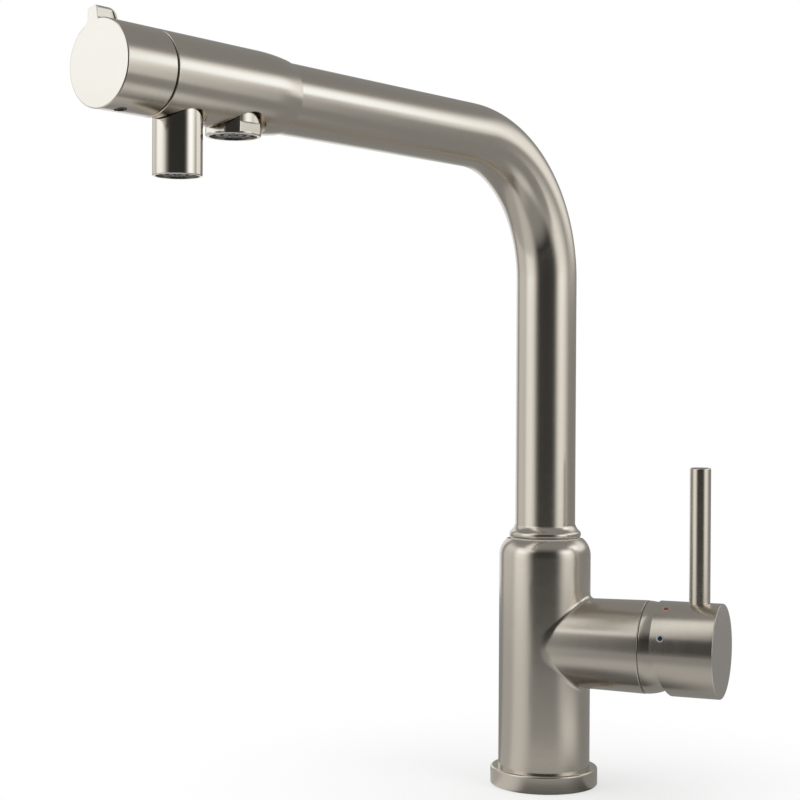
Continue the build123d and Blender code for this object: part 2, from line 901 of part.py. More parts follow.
with BuildPart() as valve_housing:
    turn(
        [
            (valve_back, riser_bore_radius),
            (valve_back, nipple_radius),
            (valve_wall_front, nipple_radius),
            (valve_wall_front, valve_bore_radius - seat_gap),
            (valve_foot_front, valve_bore_radius - seat_gap),
            (valve_foot_front, valve_radius),
            (flange_back, valve_radius),
            (flange_back, valve_mouth_radius - seat_gap),
            (housing_front, valve_mouth_radius - seat_gap),
            (housing_front, valve_hollow),
            (valve_floor, valve_hollow),
            (valve_floor, riser_bore_radius),
        ],
        arm_side,
        arm_axis,
    )
    turn(
        disc_outline(valve_back, pipe_end, 0, riser_radius + seat_gap),
        arm_side,
        arm_axis,
        Mode.SUBTRACT,
    )
    turn(
        disc_outline(
            valve_ring_place - valve_ring_section / 2,
            valve_ring_place + valve_ring_section / 2,
            valve_groove_floor,
            valve_bore_radius + overrun,
        ),
        arm_side,
        arm_axis,
        Mode.SUBTRACT,
    )
    with BuildSketch(arm_side):
        with Locations((window_middle, 0)):
            Rectangle(window_length, valve_hollow)
    extrude(amount=valve_bore_radius, both=True, mode=Mode.SUBTRACT)
valve_housing.part.label = "valve_housing"
export_step(valve_housing.part, "parts/valve_housing.step")

with BuildPart() as valve_housing_o_ring:
    seal_ring(
        arm_side,
        (valve_ring_place, valve_groove_floor + valve_ring_section / 2),
        valve_ring_section - seat_gap,
        arm_axis,
    )
valve_housing_o_ring.part.label = "valve_housing_o_ring"
export_step(valve_housing_o_ring.part, "parts/valve_housing_o_ring.step")


def valve_disc(back, first_angle):
    """Ceramic disc with two sector openings opposite each other."""
    turn(disc_outline(back, back + valve_disc_thickness, 0, valve_disc_radius), arm_side, arm_axis)
    face = Plane(origin=heading * back + Vector(0, 0, arm_height), x_dir=across, z_dir=heading)
    with BuildSketch(face) as openings:
        with PolarLocations(valve_port_orbit, 2, start_angle=first_angle):
            SlotCenterToCenter(valve_port_length, valve_port_width, rotation=90)
    extrude(openings.sketch, amount=valve_disc_thickness, mode=Mode.SUBTRACT)


with BuildPart() as valve_fixed_disc:
    valve_disc(valve_floor, 0)
valve_fixed_disc.part.label = "valve_fixed_disc"
export_step(valve_fixed_disc.part, "parts/valve_fixed_disc.step")

with BuildPart() as valve_moving_disc:
    valve_disc(moving_back, 90)
valve_moving_disc.part.label = "valve_moving_disc"
export_step(valve_moving_disc.part, "parts/valve_moving_disc.step")

# Gland nut: closes the valve bore and guides the spindle
nut_back = housing_front
nut_front = head_end - nut_setback

with BuildPart() as valve_nut:
    turn(
        disc_outline(
            nut_back, nut_front, spindle_radius + run_gap, valve_mouth_radius - seat_gap
        ),
        arm_side,
        arm_axis,
    )
    nut_face = Plane(
        origin=heading * nut_front + Vector(0, 0, arm_height), x_dir=across, z_dir=heading
    )
    with BuildSketch(nut_face):
        with PolarLocations(valve_mouth_radius - nut_hole_inset, 4, start_angle=45):
            Circle(nut_hole_radius)
    extrude(amount=-nut_hole_depth, mode=Mode.SUBTRACT)
valve_nut.part.label = "valve_nut"
export_step(valve_nut.part, "parts/valve_nut.step")

# Spindle: dog on the moving disc, sealed journal, square-cut end in the knob
spindle_end = moving_front + spindle_length
dog_front = moving_front + spindle_dog
journal_back = window_middle + window_length / 2 + free_gap
journal_front = housing_front - face_gap
spindle_ring_at = (journal_back + journal_front) / 2
spindle_journal = valve_hollow - run_gap
spindle_groove_floor = spindle_journal - spindle_ring_section
spindle_groove_half = spindle_ring_section * 0.8

with BuildPart() as filter_spindle:
    turn(
        [
            (moving_front, 0),
            (moving_front, spindle_journal),
            (dog_front, spindle_journal),
            (dog_front, spindle_waist),
            (journal_back, spindle_waist),
            (journal_back, spindle_journal),
            (journal_front, spindle_journal),
            (journal_front, spindle_radius),
            (spindle_end, spindle_radius),
            (spindle_end, 0),
        ],
        arm_side,
        arm_axis,
    )
    turn(
        disc_outline(
            spindle_ring_at - spindle_groove_half,
            spindle_ring_at + spindle_groove_half,
            spindle_groove_floor,
            spindle_journal + overrun,
        ),
        arm_side,
        arm_axis,
        Mode.SUBTRACT,
    )
    disc_face = Plane(
        origin=heading * moving_front + Vector(0, 0, arm_height), x_dir=across, z_dir=heading
    )
    with BuildSketch(disc_face):
        with PolarLocations(valve_port_orbit, 2, start_angle=90):
            SlotCenterToCenter(valve_port_length, valve_port_width, rotation=90)
    extrude(amount=spindle_dog, mode=Mode.SUBTRACT)
filter_spindle.part.label = "filter_spindle"
export_step(filter_spindle.part, "parts/filter_spindle.step")

with BuildPart() as spindle_o_ring:
    seal_ring(
        arm_side,
        (spindle_ring_at, spindle_groove_floor + spindle_ring_section / 2),
        spindle_ring_section - seat_gap,
        arm_axis,
    )
spindle_o_ring.part.label = "spindle_o_ring"
export_step(spindle_o_ring.part, "parts/spindle_o_ring.step")

# Filter knob with its finger tab
knob_back = head_end + knob_gap
knob_face = knob_back + knob_length
tab_lean = radians(knob_lean)
tab_up = Vector(0, 0, 1) * cos(tab_lean) + across * sin(tab_lean)
tab_side = Plane(
    origin=heading * knob_face + Vector(0, 0, arm_height),
    x_dir=heading,
    z_dir=heading.cross(tab_up),
)
plug_at = knob_face - plug_from_face
plug_plane = Plane(
    origin=heading * plug_at + Vector(0, 0, arm_height), x_dir=heading, z_dir=-tab_up
)
plug_seat = head_radius - plug_depth
screw_top = plug_seat - free_gap

with BuildPart() as filter_knob:
    turn(disc_outline(knob_back, knob_face, 0, head_radius), arm_side, arm_axis)
    knob_rims = filter_knob.edges().filter_by(GeomType.CIRCLE)
    fillet(knob_rims, knob_edge)
    with BuildSketch(tab_side):
        with Locations((-tab_depth / 2, head_radius + (tab_height - tab_root) / 2)):
            tab_outline = Rectangle(tab_depth, tab_height + tab_root)
        fillet(tab_outline.vertices().group_by(Axis.Y)[-1].sort_by(Axis.X)[:1], tab_round)
    extrude(amount=tab_width / 2, both=True)
    tab_ridges = filter_knob.edges().filter_by(arm_axis).filter_by(
        lambda edge: (edge.center() - tab_side.origin).dot(tab_up) > head_radius + tab_height / 2
    )
    fillet(tab_ridges, tab_edge)
    # Room for the gland nut and a bore for the spindle
    turn(
        disc_outline(knob_back, knob_back + knob_room, hub_radius, head_radius - knob_wall),
        arm_side,
        arm_axis,
        Mode.SUBTRACT,
    )
    turn(
        disc_outline(knob_back, spindle_end + free_gap, 0, spindle_radius + seat_gap),
        arm_side,
        arm_axis,
        Mode.SUBTRACT,
    )
    with BuildSketch(plug_plane):
        Circle(screw_radius + seat_gap)
    extrude(amount=head_radius, mode=Mode.SUBTRACT)
    with BuildSketch(plug_plane.offset(plug_seat)):
        Circle(plug_radius + seat_gap)
    extrude(amount=head_radius, mode=Mode.SUBTRACT)
filter_knob.part.label = "filter_knob"
export_step(filter_knob.part, "parts/filter_knob.step")

with BuildPart() as knob_grub_screw:
    with BuildSketch(plug_plane.offset(spindle_radius)):
        Circle(screw_radius)
    extrude(amount=screw_top - spindle_radius)
    with BuildSketch(plug_plane.offset(screw_top)):
        RegularPolygon(radius=screw_radius * key_share, side_count=6)
    extrude(amount=-screw_key_depth, mode=Mode.SUBTRACT)
knob_grub_screw.part.label = "knob_grub_screw"
export_step(knob_grub_screw.part, "parts/knob_grub_screw.step")

with BuildPart() as knob_screw_plug:
    with BuildSketch(plug_plane.offset(plug_seat)):
        Circle(plug_radius)
    extrude(amount=plug_depth - plug_sink)
knob_screw_plug.part.label = "knob_screw_plug"
export_step(knob_screw_plug.part, "parts/knob_screw_plug.step")

# Lever cartridge: port seals and base plate on the pocket's floor
cartridge_radius = pocket_radius - seat_gap * 2
port_places = ((port_side, port_low), (-port_side, port_low), (0, port_high))

with BuildPart() as cartridge_base:
    turn(disc_outline(base_plate_back, plate_front, 0, cartridge_radius), branch_side, branch_axis)
    with BuildSketch(branch_end(base_plate_back)):
        with Locations(*port_places):
            Circle(port_radius)
    extrude(amount=base_plate_thickness, mode=Mode.SUBTRACT)
    with BuildSketch(branch_end(base_plate_back)):
        with Locations(*port_places):
            Circle(port_radius + port_seal_wall)
    extrude(amount=port_seal_height, mode=Mode.SUBTRACT)
cartridge_base.part.label = "cartridge_base"
export_step(cartridge_base.part, "parts/cartridge_base.step")

with BuildPart() as cartridge_port_seals:
    with BuildSketch(branch_end(pocket_floor)):
        with Locations(*port_places):
            Circle(port_radius + port_seal_wall - seat_gap)
        with Locations(*port_places):
            Circle(port_radius, mode=Mode.SUBTRACT)
    extrude(amount=port_seal_height + face_gap)
cartridge_port_seals.part.label = "cartridge_port_seals"
export_step(cartridge_port_seals.part, "parts/cartridge_port_seals.step")

# Ceramic disc that stays still, with the two inlet ports and the outlet
with BuildPart() as fixed_ceramic_disc:
    turn(disc_outline(plate_front, fixed_disc_front, 0, disc_radius), branch_side, branch_axis)
    with BuildSketch(branch_end(plate_front)):
        with Locations(*port_places):
            Circle(port_radius)
    extrude(amount=disc_thickness, mode=Mode.SUBTRACT)
fixed_ceramic_disc.part.label = "fixed_ceramic_disc"
export_step(fixed_ceramic_disc.part, "parts/fixed_ceramic_disc.step")

# Moving disc and its carrier, at rest in the shut place below the axis
foot_at = branch_length - stem_arm

with BuildPart() as moving_ceramic_disc:
    with BuildSketch(branch_end(moving_disc_back)):
        with Locations((0, -moving_disc_offset)):
            Circle(moving_disc_radius)
    extrude(amount=disc_thickness)
    with BuildSketch(branch_end(moving_disc_back)):
        with Locations((0, -moving_disc_offset)):
            SlotCenterToCenter(mix_slot_length, mix_slot_width, rotation=90)
    extrude(amount=mix_slot_depth, mode=Mode.SUBTRACT)
moving_ceramic_disc.part.label = "moving_ceramic_disc"
export_step(moving_ceramic_disc.part, "parts/moving_ceramic_disc.step")

with BuildPart() as disc_carrier:
    with BuildSketch(branch_end(moving_disc_front)):
        with Locations((0, -moving_disc_offset)):
            Circle(moving_disc_radius)
    extrude(amount=carrier_front - moving_disc_front)
    with BuildSketch(branch_end(moving_disc_front + disc_carrier_floor)):
        Rectangle(2 * (foot_half_width + free_gap), 2 * (foot_radius + free_gap))
    extrude(amount=carrier_front, mode=Mode.SUBTRACT)
disc_carrier.part.label = "disc_carrier"
export_step(disc_carrier.part, "parts/disc_carrier.step")

# Stem carrier: turns in the housing's collar and holds the lever's pivot pin
stem_carrier_front = branch_length + neck_reach
lift = radians(lift_range)
housing_inner = cartridge_radius - cartridge_wall
slot_half_width = stem_half_width + free_gap
pivot_plane = Plane(origin=(branch_length, 0, branch_height), x_dir=(1, 0, 0), z_dir=(0, 1, 0))
slot_low = -(stem_half_width * cos(lift) + neck_reach * sin(lift) + slot_play)
slot_high = stem_arm * sin(lift) + foot_radius + slot_play

with BuildPart() as stem_carrier:
    turn(
        [
            (carrier_flange_back, 0),
            (carrier_flange_back, housing_inner - free_gap),
            (carrier_flange_front, housing_inner - free_gap),
            (carrier_flange_front, neck_radius),
            (stem_carrier_front, neck_radius),
            (stem_carrier_front, 0),
        ],
        branch_side,
        branch_axis,
    )
    with BuildSketch(branch_end(carrier_flange_back)):
        with Locations((0, (slot_low + slot_high) / 2)):
            Rectangle(2 * slot_half_width, slot_high - slot_low)
    extrude(amount=stem_carrier_front - carrier_flange_back, mode=Mode.SUBTRACT)
    with BuildSketch(pivot_plane):
        Circle(pin_radius + seat_gap / 2)
    extrude(amount=neck_radius + overrun, both=True, mode=Mode.SUBTRACT)
stem_carrier.part.label = "stem_carrier"
export_step(stem_carrier.part, "parts/stem_carrier.step")

with BuildPart() as pivot_pin:
    with BuildSketch(pivot_plane):
        Circle(pin_radius)
    extrude(amount=neck_radius - pin_inset, both=True)
pivot_pin.part.label = "pivot_pin"
export_step(pivot_pin.part, "parts/pivot_pin.step")

# Cartridge housing: clips on the base plate and ends in a collar
housing_collar_front = branch_length + collar_neck_reach

with BuildPart() as cartridge_housing:
    turn(
        [
            (plate_front, housing_inner),
            (plate_front, cartridge_radius),
            (housing_wall_front, cartridge_radius),
            (housing_wall_front, collar_neck_radius),
            (housing_collar_front, collar_neck_radius),
            (housing_collar_front, neck_radius + face_gap),
            (housing_wall_back, neck_radius + face_gap),
            (housing_wall_back, housing_inner),
        ],
        branch_side,
        branch_axis,
    )
cartridge_housing.part.label = "cartridge_housing"
export_step(cartridge_housing.part, "parts/cartridge_housing.step")

# Cartridge nut: screwed into the branch, with a threaded nose for the dome
nose_radius = mouth_radius - nut_nose_step
nut_nose_front = branch_length + nut_nose_reach

with BuildPart() as cartridge_nut:
    turn(
        [
            (housing_wall_front, collar_neck_radius + seat_gap),
            (housing_wall_front, mouth_radius - seat_gap),
            (branch_length - free_gap, mouth_radius - seat_gap),
            (branch_length - free_gap, nose_radius),
            (nut_nose_front, nose_radius),
            (nut_nose_front, collar_neck_radius + seat_gap),
        ],
        branch_side,
        branch_axis,
    )
    with BuildSketch(branch_end(nut_nose_front)):
        with PolarLocations((nose_radius + collar_neck_radius) / 2, 4, start_angle=45):
            Rectangle(nut_key_length, nut_key_width)
    extrude(amount=-nut_key_depth, mode=Mode.SUBTRACT)
cartridge_nut.part.label = "cartridge_nut"
export_step(cartridge_nut.part, "parts/cartridge_nut.step")

# Dome cover: a band of a sphere round the lever's pivot
dome_back = branch_length + face_gap
dome_front = branch_length + dome_reach

with BuildPart() as dome_cover:
    with BuildSketch(branch_side):
        with BuildLine():
            dome_low = (dome_back, sqrt(dome_radius**2 - face_gap**2))
            dome_high = (dome_front, sqrt(dome_radius**2 - dome_reach**2))
            dome_mid_reach = dome_reach / 2
            dome_mid = (branch_length + dome_mid_reach, sqrt(dome_radius**2 - dome_mid_reach**2))
            ThreePointArc(dome_low, dome_mid, dome_high)
            inner_radius = dome_radius - dome_wall
            ledge = nut_nose_front - branch_length
            inner_high = (dome_front, sqrt(inner_radius**2 - dome_reach**2))
            inner_mid_reach = (ledge + dome_reach) / 2
            inner_mid = (branch_length + inner_mid_reach, sqrt(inner_radius**2 - inner_mid_reach**2))
            inner_low = (nut_nose_front, sqrt(inner_radius**2 - ledge**2))
            Line(dome_high, inner_high)
            ThreePointArc(inner_high, inner_mid, inner_low)
            Polyline(
                inner_low,
                (nut_nose_front, nose_radius + seat_gap),
                (dome_back, nose_radius + seat_gap),
                dome_low,
            )
        make_face()
    revolve(axis=branch_axis)
dome_cover.part.label = "dome_cover"
export_step(dome_cover.part, "parts/dome_cover.step")

# Lever stem: foot, pivot block and square shaft, in one piece
stem_tip = branch_length + stem_reach

with BuildPart() as stem_lever:
    with BuildSketch(branch_side):
        with Locations((branch_length - stem_arm / 2, 0)):
            Rectangle(stem_arm, 2 * arm_half)
    extrude(amount=foot_half_width, both=True)
    with BuildSketch(branch_side):
        with Locations((foot_at, 0)):
            Circle(foot_radius)
    extrude(amount=foot_half_width, both=True)
    with BuildSketch(branch_side):
        with Locations((branch_length, 0)):
            Circle(stem_half_width)
    extrude(amount=stem_half_width, both=True)
    with BuildSketch(branch_end(branch_length)):
        Rectangle(2 * stem_half_width, 2 * stem_half_width)
    extrude(amount=stem_tip - branch_length)
    with BuildSketch(branch_side):
        with Locations((branch_length, 0)):
            Circle(pin_radius + run_gap)
    extrude(amount=stem_half_width + overrun, both=True, mode=Mode.SUBTRACT)
stem_lever.part.label = "stem_lever"
export_step(stem_lever.part, "parts/stem_lever.step")

# Handle knob: spherical hollow over the dome, lower edge cut back for the lift
handle_back = branch_length + handle_setback
handle_face = handle_back + handle_length
hollow_radius = dome_radius + free_gap
rod_at = handle_face - rod_from_face
rod_bottom = branch_height + handle_radius - rod_sink
rod_thread_bottom = rod_bottom - rod_thread_length
grub_plane = Plane(origin=(stem_tip - grub_setback, 0, branch_height), z_dir=(0, 0, -1))
boss_radius = stem_half_width * sqrt(2) + boss_wall
boss_back = stem_tip - boss_length
hollow_back = handle_back - overrun
hollow_back_reach = handle_setback - overrun
hollow_middle_angle = radians(40)


def round_the_branch(angle):
    """Direction out from the branch's axis, turned from straight up towards the user."""
    return Vector(0, -sin(radians(angle)), cos(radians(angle)))


def dot_plane(angle, radius):
    """Plane square to the handle's round side at a dot's place."""
    outward = round_the_branch(angle)
    place = Vector(handle_back + dot_setback, 0, branch_height) + outward * radius
    return Plane(origin=place, x_dir=(1, 0, 0), z_dir=outward)


with BuildPart() as handle_knob:
    turn(disc_outline(handle_back, handle_face, 0, handle_radius), branch_side, branch_axis)
    face_rim = handle_knob.edges().filter_by(GeomType.CIRCLE).sort_by(Axis.X)[-1:]
    fillet(face_rim, handle_edge)
    with BuildSketch(branch_side):
        with BuildLine():
            hollow_mouth = (hollow_back, sqrt(hollow_radius**2 - hollow_back_reach**2))
            hollow_middle = (
                branch_length + hollow_radius * cos(hollow_middle_angle),
                hollow_radius * sin(hollow_middle_angle),
            )
            hollow_end = (branch_length + hollow_radius, 0)
            ThreePointArc(hollow_mouth, hollow_middle, hollow_end)
            Polyline(hollow_end, (hollow_back, 0), hollow_mouth)
        make_face()
    revolve(axis=branch_axis, mode=Mode.SUBTRACT)
    # Boss that grips the stem, and its square socket
    with BuildSketch(branch_end(boss_back)):
        Circle(boss_radius)
    extrude(amount=branch_length + hollow_radius + overrun - boss_back)
    with BuildSketch(branch_end(boss_back)):
        Rectangle(2 * (stem_half_width + seat_gap), 2 * (stem_half_width + seat_gap))
    extrude(amount=stem_tip + face_gap - boss_back, mode=Mode.SUBTRACT)
    # Lower half of the inner edge, cut back along a slanted plane
    with BuildSketch(branch_side):
        reach = 2 * handle_radius
        with BuildLine():
            Polyline(
                (handle_back, 0),
                (handle_back + reach * tan(radians(handle_cut_angle)), -reach),
                (handle_back - reach, -reach),
                (handle_back - reach, 0),
                close=True,
            )
        make_face()
    extrude(amount=reach, both=True, mode=Mode.SUBTRACT)
    # Counterbore and threaded hole for the rod
    with BuildSketch(Plane(origin=(rod_at, 0, rod_bottom))):
        Circle(rod_radius + seat_gap)
    extrude(amount=handle_radius, mode=Mode.SUBTRACT)
    with BuildSketch(Plane(origin=(rod_at, 0, rod_thread_bottom - free_gap))):
        Circle(rod_thread_radius + seat_gap)
    extrude(amount=handle_radius, mode=Mode.SUBTRACT)
    # Threaded hole from below for the grub screw
    with BuildSketch(grub_plane):
        Circle(screw_radius + seat_gap)
    extrude(amount=handle_radius, mode=Mode.SUBTRACT)
    # Shallow pockets for the two index dots
    for angle in (hot_dot_angle, cold_dot_angle):
        with BuildSketch(dot_plane(angle, handle_radius - dot_depth)):
            Circle(dot_radius + seat_gap)
        extrude(amount=dot_depth + overrun, mode=Mode.SUBTRACT)
handle_knob.part.label = "handle_knob"
export_step(handle_knob.part, "parts/handle_knob.step")

with BuildPart() as handle_rod:
    with BuildSketch(Plane(origin=(rod_at, 0, rod_bottom))):
        Circle(rod_radius)
    extrude(amount=rod_top - rod_bottom)
    rod_rim = handle_rod.edges().filter_by(GeomType.CIRCLE).sort_by(Axis.Z)[-1:]
    fillet(rod_rim, rod_edge)
    with BuildSketch(Plane(origin=(rod_at, 0, rod_thread_bottom))):
        Circle(rod_thread_radius)
    extrude(amount=rod_thread_length)
handle_rod.part.label = "handle_rod"
export_step(handle_rod.part, "parts/handle_rod.step")

with BuildPart() as handle_grub_screw:
    with BuildSketch(grub_plane.offset(stem_half_width)):
        Circle(screw_radius)
    extrude(amount=grub_length)
    with BuildSketch(grub_plane.offset(stem_half_width + grub_length)):
        RegularPolygon(radius=screw_radius * key_share, side_count=6)
    extrude(amount=-screw_key_depth, mode=Mode.SUBTRACT)
handle_grub_screw.part.label = "handle_grub_screw"
export_step(handle_grub_screw.part, "parts/handle_grub_screw.step")


def index_dot(angle):
    """Small enamelled disc in its pocket."""
    with BuildSketch(dot_plane(angle, handle_radius - dot_depth)) as dot:
        Circle(dot_radius)
    extrude(dot.sketch, amount=dot_depth - seat_gap)


with BuildPart() as hot_index:
    index_dot(hot_dot_angle)
hot_index.part.label = "hot_index"
export_step(hot_index.part, "parts/hot_index.step")

with BuildPart() as cold_index:
    index_dot(cold_dot_angle)
cold_index.part.label = "cold_index"
export_step(cold_index.part, "parts/cold_index.step")
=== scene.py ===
"""Kitchen mixer tap: smooth surfaces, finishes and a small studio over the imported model."""

import json
from collections import namedtuple

import bmesh
import bpy
import numpy as np
from bpy.props import FloatProperty, FloatVectorProperty, PointerProperty
from bpy.types import Operator, Panel, PropertyGroup
from mathutils import Matrix, Vector


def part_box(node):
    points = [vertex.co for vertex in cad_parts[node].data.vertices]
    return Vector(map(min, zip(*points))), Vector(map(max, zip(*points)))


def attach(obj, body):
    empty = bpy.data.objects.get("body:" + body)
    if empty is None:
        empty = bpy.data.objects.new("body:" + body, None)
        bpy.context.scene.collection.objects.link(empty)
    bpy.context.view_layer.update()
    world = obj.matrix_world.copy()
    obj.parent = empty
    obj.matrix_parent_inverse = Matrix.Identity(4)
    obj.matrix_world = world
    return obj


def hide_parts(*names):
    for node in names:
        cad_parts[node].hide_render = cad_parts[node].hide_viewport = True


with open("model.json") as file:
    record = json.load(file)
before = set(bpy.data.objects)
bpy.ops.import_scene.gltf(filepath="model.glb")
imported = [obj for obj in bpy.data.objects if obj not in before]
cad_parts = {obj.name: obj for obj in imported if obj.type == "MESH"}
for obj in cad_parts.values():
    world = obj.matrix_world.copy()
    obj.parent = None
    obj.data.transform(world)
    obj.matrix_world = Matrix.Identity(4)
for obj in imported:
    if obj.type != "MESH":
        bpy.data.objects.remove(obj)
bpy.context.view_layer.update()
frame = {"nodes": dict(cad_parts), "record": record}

bl_info = {
    "name": "Kitchen Mixer Tap",
    "version": (1, 0, 0),
    "blender": (4, 5, 0),
    "location": "3D View > Sidebar > Tap",
    "description": "Surfaces, finishes and studio of a three-way kitchen mixer tap",
    "category": "Object",
}

MM = 0.001


def length(mm, name, description):
    """Length property whose default is given in millimetres."""
    return FloatProperty(
        name=name, description=description, default=mm * MM, min=0.0, unit="LENGTH", precision=5
    )


def colour(name, description, default):
    """Colour property."""
    return FloatVectorProperty(
        name=name, description=description, default=default, size=3, min=0.0, max=1.0, subtype="COLOR"
    )


def share(name, description, default, most=1.0):
    """Plain number property from 0 upwards."""
    return FloatProperty(name=name, description=description, default=default, min=0.0, max=most)


class TapSizes(PropertyGroup):
    """Sizes of the pieces that show."""

    base_radius: length(25.0, "Base radius", "Outside radius of the base flange")
    base_height: length(8.4, "Base height", "Height of the base flange")
    base_edge: length(1.0, "Base edge", "Rounding of the base flange's edges")
    body_radius: length(21.35, "Body radius", "Radius of the upright body")
    body_height: length(115.0, "Body height", "Top of the body above the worktop")
    shoulder_drop: length(7.8, "Shoulder drop", "Height of the rounded shoulder")
    shoulder_flat: length(17.85, "Shoulder flat", "Radius of the flat inside the shoulder")
    branch_height: length(67.05, "Branch height", "Height of the side branch's axis")
    branch_length: length(49.8, "Branch length", "Reach of the side branch from the body's axis")
    branch_root: length(20.45, "Branch root", "Radius of the branch at the body's axis")
    branch_end: length(21.3, "Branch end", "Radius of the branch at its end")
    branch_blend: length(2.4, "Branch blend", "Radius of the blend between body and branch")
    tube_radius: length(14.0, "Tube radius", "Radius of the spout tube")
    bend_radius: length(61.0, "Bend radius", "Radius of the spout's bend, at the tube's centre")
    arm_height: length(297.1, "Arm height", "Height of the arm's axis")
    collar_radius: length(16.75, "Collar radius", "Widest radius of the swivel collar")
    collar_height: length(5.8, "Collar height", "Height of the swivel collar")
    head_radius: length(15.9, "Head radius", "Radius of the spout head")
    head_start: length(181.5, "Head start", "Where the head begins, from the column's axis")
    head_shoulder: length(15.0, "Head shoulder", "Length of the head's taper to the tube")
    head_end: length(246.1, "Head end", "Where the head ends, from the column's axis")
    main_at: length(204.4, "Mixed outlet place", "Mixed outlet's axis from the column's axis")
    main_radius: length(10.5, "Mixed outlet radius", "Radius of the mixed water outlet")
    main_drop: length(2.2, "Mixed outlet drop", "Reach of the mixed outlet below the head")
    main_gap: length(2.0, "Mixed outlet gap", "Gap round the mixed outlet in its seat")
    filter_at: length(232.5, "Filter outlet place", "Filter outlet's axis from the column's axis")
    filter_radius: length(9.2, "Filter outlet radius", "Radius of the filtered water outlet")
    filter_drop: length(19.9, "Filter outlet drop", "Reach of the filter outlet below the head")
    filter_gap: length(1.3, "Filter outlet gap", "Gap round the filter outlet in its seat")
    knob_gap: length(0.55, "Knob gap", "Seam between the head and the filter knob")
    knob_length: length(22.95, "Knob length", "Length of the filter knob")
    tab_width: length(4.4, "Tab width", "Width of the filter knob's finger tab")
    tab_depth: length(9.3, "Tab depth", "Length of the finger tab along the knob")
    tab_height: length(4.7, "Tab height", "Height of the finger tab above the knob")
    dome_radius: length(21.15, "Dome radius", "Radius of the dome behind the handle")
    handle_radius: length(21.5, "Handle radius", "Radius of the handle")
    handle_setback: length(5.7, "Handle setback", "Gap between the branch and the handle")
    handle_length: length(28.4, "Handle length", "Length of the handle")
    rod_radius: length(4.75, "Rod radius", "Radius of the lever rod")
    rod_top: length(149.7, "Rod top", "Height of the lever rod's tip")
    dot_radius: length(1.7, "Dot radius", "Radius of the hot and cold dots")


class TapFinishes(PropertyGroup):
    """Colours and finishes."""

    nickel: colour("Nickel", "Brushed nickel", (0.66, 0.607, 0.525))
    nickel_roughness: share("Nickel roughness", "Roughness of the brushed nickel", 0.21)
    polish_roughness: share("Polish roughness", "Roughness of the finer nickel", 0.11)
    brush_depth: share("Brush depth", "Strength of the brushed grain", 0.04)
    dark: colour("Dark plastic", "Aerators and the screw plug", (0.022, 0.022, 0.023))
    rubber: colour("Rubber", "Seals and gaskets", (0.02, 0.02, 0.021))
    red: colour("Red", "Enamel of the hot dot", (0.2, 0.034, 0.026))
    blue: colour("Blue", "Enamel of the cold dot", (0.002, 0.022, 0.075))
    brass: colour("Brass", "Machined brass inside", (0.72, 0.53, 0.27))
    steel: colour("Steel", "Stainless screws, pin and stem", (0.6, 0.6, 0.59))
    acetal: colour("Acetal", "Bushes and the cartridge", (0.76, 0.75, 0.71))
    pipe: colour("Pipe plastic", "Filtered water pipes", (0.66, 0.69, 0.73))
    ceramic: colour("Ceramic", "Valve discs", (0.84, 0.83, 0.8))


class TapStudio(PropertyGroup):
    """Light and floor."""

    boxes: share("Light boxes", "Brightness of the light boxes in the metal", 1.0, 4.0)
    walls: share("Walls", "Brightness of the bare walls in the metal", 0.3, 4.0)
    lamps: share("Lamps", "Strength of the soft lamps", 1.0, 10.0)
    sky: share("Sky", "Brightness of the light from all round", 0.5, 4.0)
    floor: colour("Floor", "Colour of the floor", (0.93, 0.93, 0.93))


class Millimetres:
    """Reads the size properties in millimetres."""

    def __getattr__(self, name):
        return getattr(bpy.context.scene.tap_sizes, name) / MM


# Surfaces: every grid holds points in millimetres, rows by columns by three

Spindle = namedtuple("Spindle", "origin axis first second")
Patch = namedtuple("Patch", "points grain keep", defaults=(None,))
Window = namedtuple("Window", "rows columns rim into level", defaults=(None, None))

DECK, UP = np.zeros(3), np.array((0.0, 0.0, 1.0))
ALONG_BRANCH, TO_USER = np.array((1.0, 0.0, 0.0)), np.array((0.0, -1.0, 0.0))
ARM_TURN, TAB_LEAN = np.radians((252.55, 10.5))  # azimuth of the arm, and lean of the finger tab
HEADING = np.array((np.cos(ARM_TURN), np.sin(ARM_TURN), 0.0))
ACROSS = np.cross(HEADING, UP)
TAB_UP = UP * np.cos(TAB_LEAN) + ACROSS * np.sin(TAB_LEAN)

FULL_TURN, HALF_TURN = 144, 72  # columns round a large cylinder, and round half of it
CROWDING = 1.3  # of a ring's rows towards its hole
SIDE_BLEND, SIDE_POWER = 16.0, 24  # how much wider the body's blend is at the sides, how suddenly
TUBE_SOCKET = 9.0  # how far the tube reaches into the head
MAIN_SEAT, FILTER_SEAT = 9.3, 12.0  # floors of the outlets' seats, below the arm's axis
ROD_FROM_FACE, ROD_SOCKET = 10.4, 4.0  # place of the rod behind the handle's face, its depth
FIT = 0.05  # between pieces that sit in each other
UNDERSIDE = 1.0  # height of the column's flat underside


def unit(vector):
    """Vector of length one."""
    return vector / np.linalg.norm(vector)


def spindle(origin, axis, first):
    """Axis to turn or drill about, with the direction where its angle is zero."""
    return Spindle(np.asarray(origin, float), axis, first, np.cross(axis, first))


def column_spindle():
    """The upright axis, with its angle from the branch towards the rear."""
    return spindle(DECK, UP, ALONG_BRANCH)


def branch_spindle(s):
    """The branch's axis, with its angle from straight up towards the user."""
    return spindle((0.0, 0.0, s.branch_height), ALONG_BRANCH, UP)


def arm_spindle(s, first=-UP):
    """The arm's axis, with its angle from straight down or from the direction given."""
    return spindle((0.0, 0.0, s.arm_height), HEADING, first)


def outlet_spindle(s, at):
    """Axis straight down from the arm's axis at a distance along it."""
    return spindle(HEADING * at + UP * s.arm_height, -UP, HEADING)


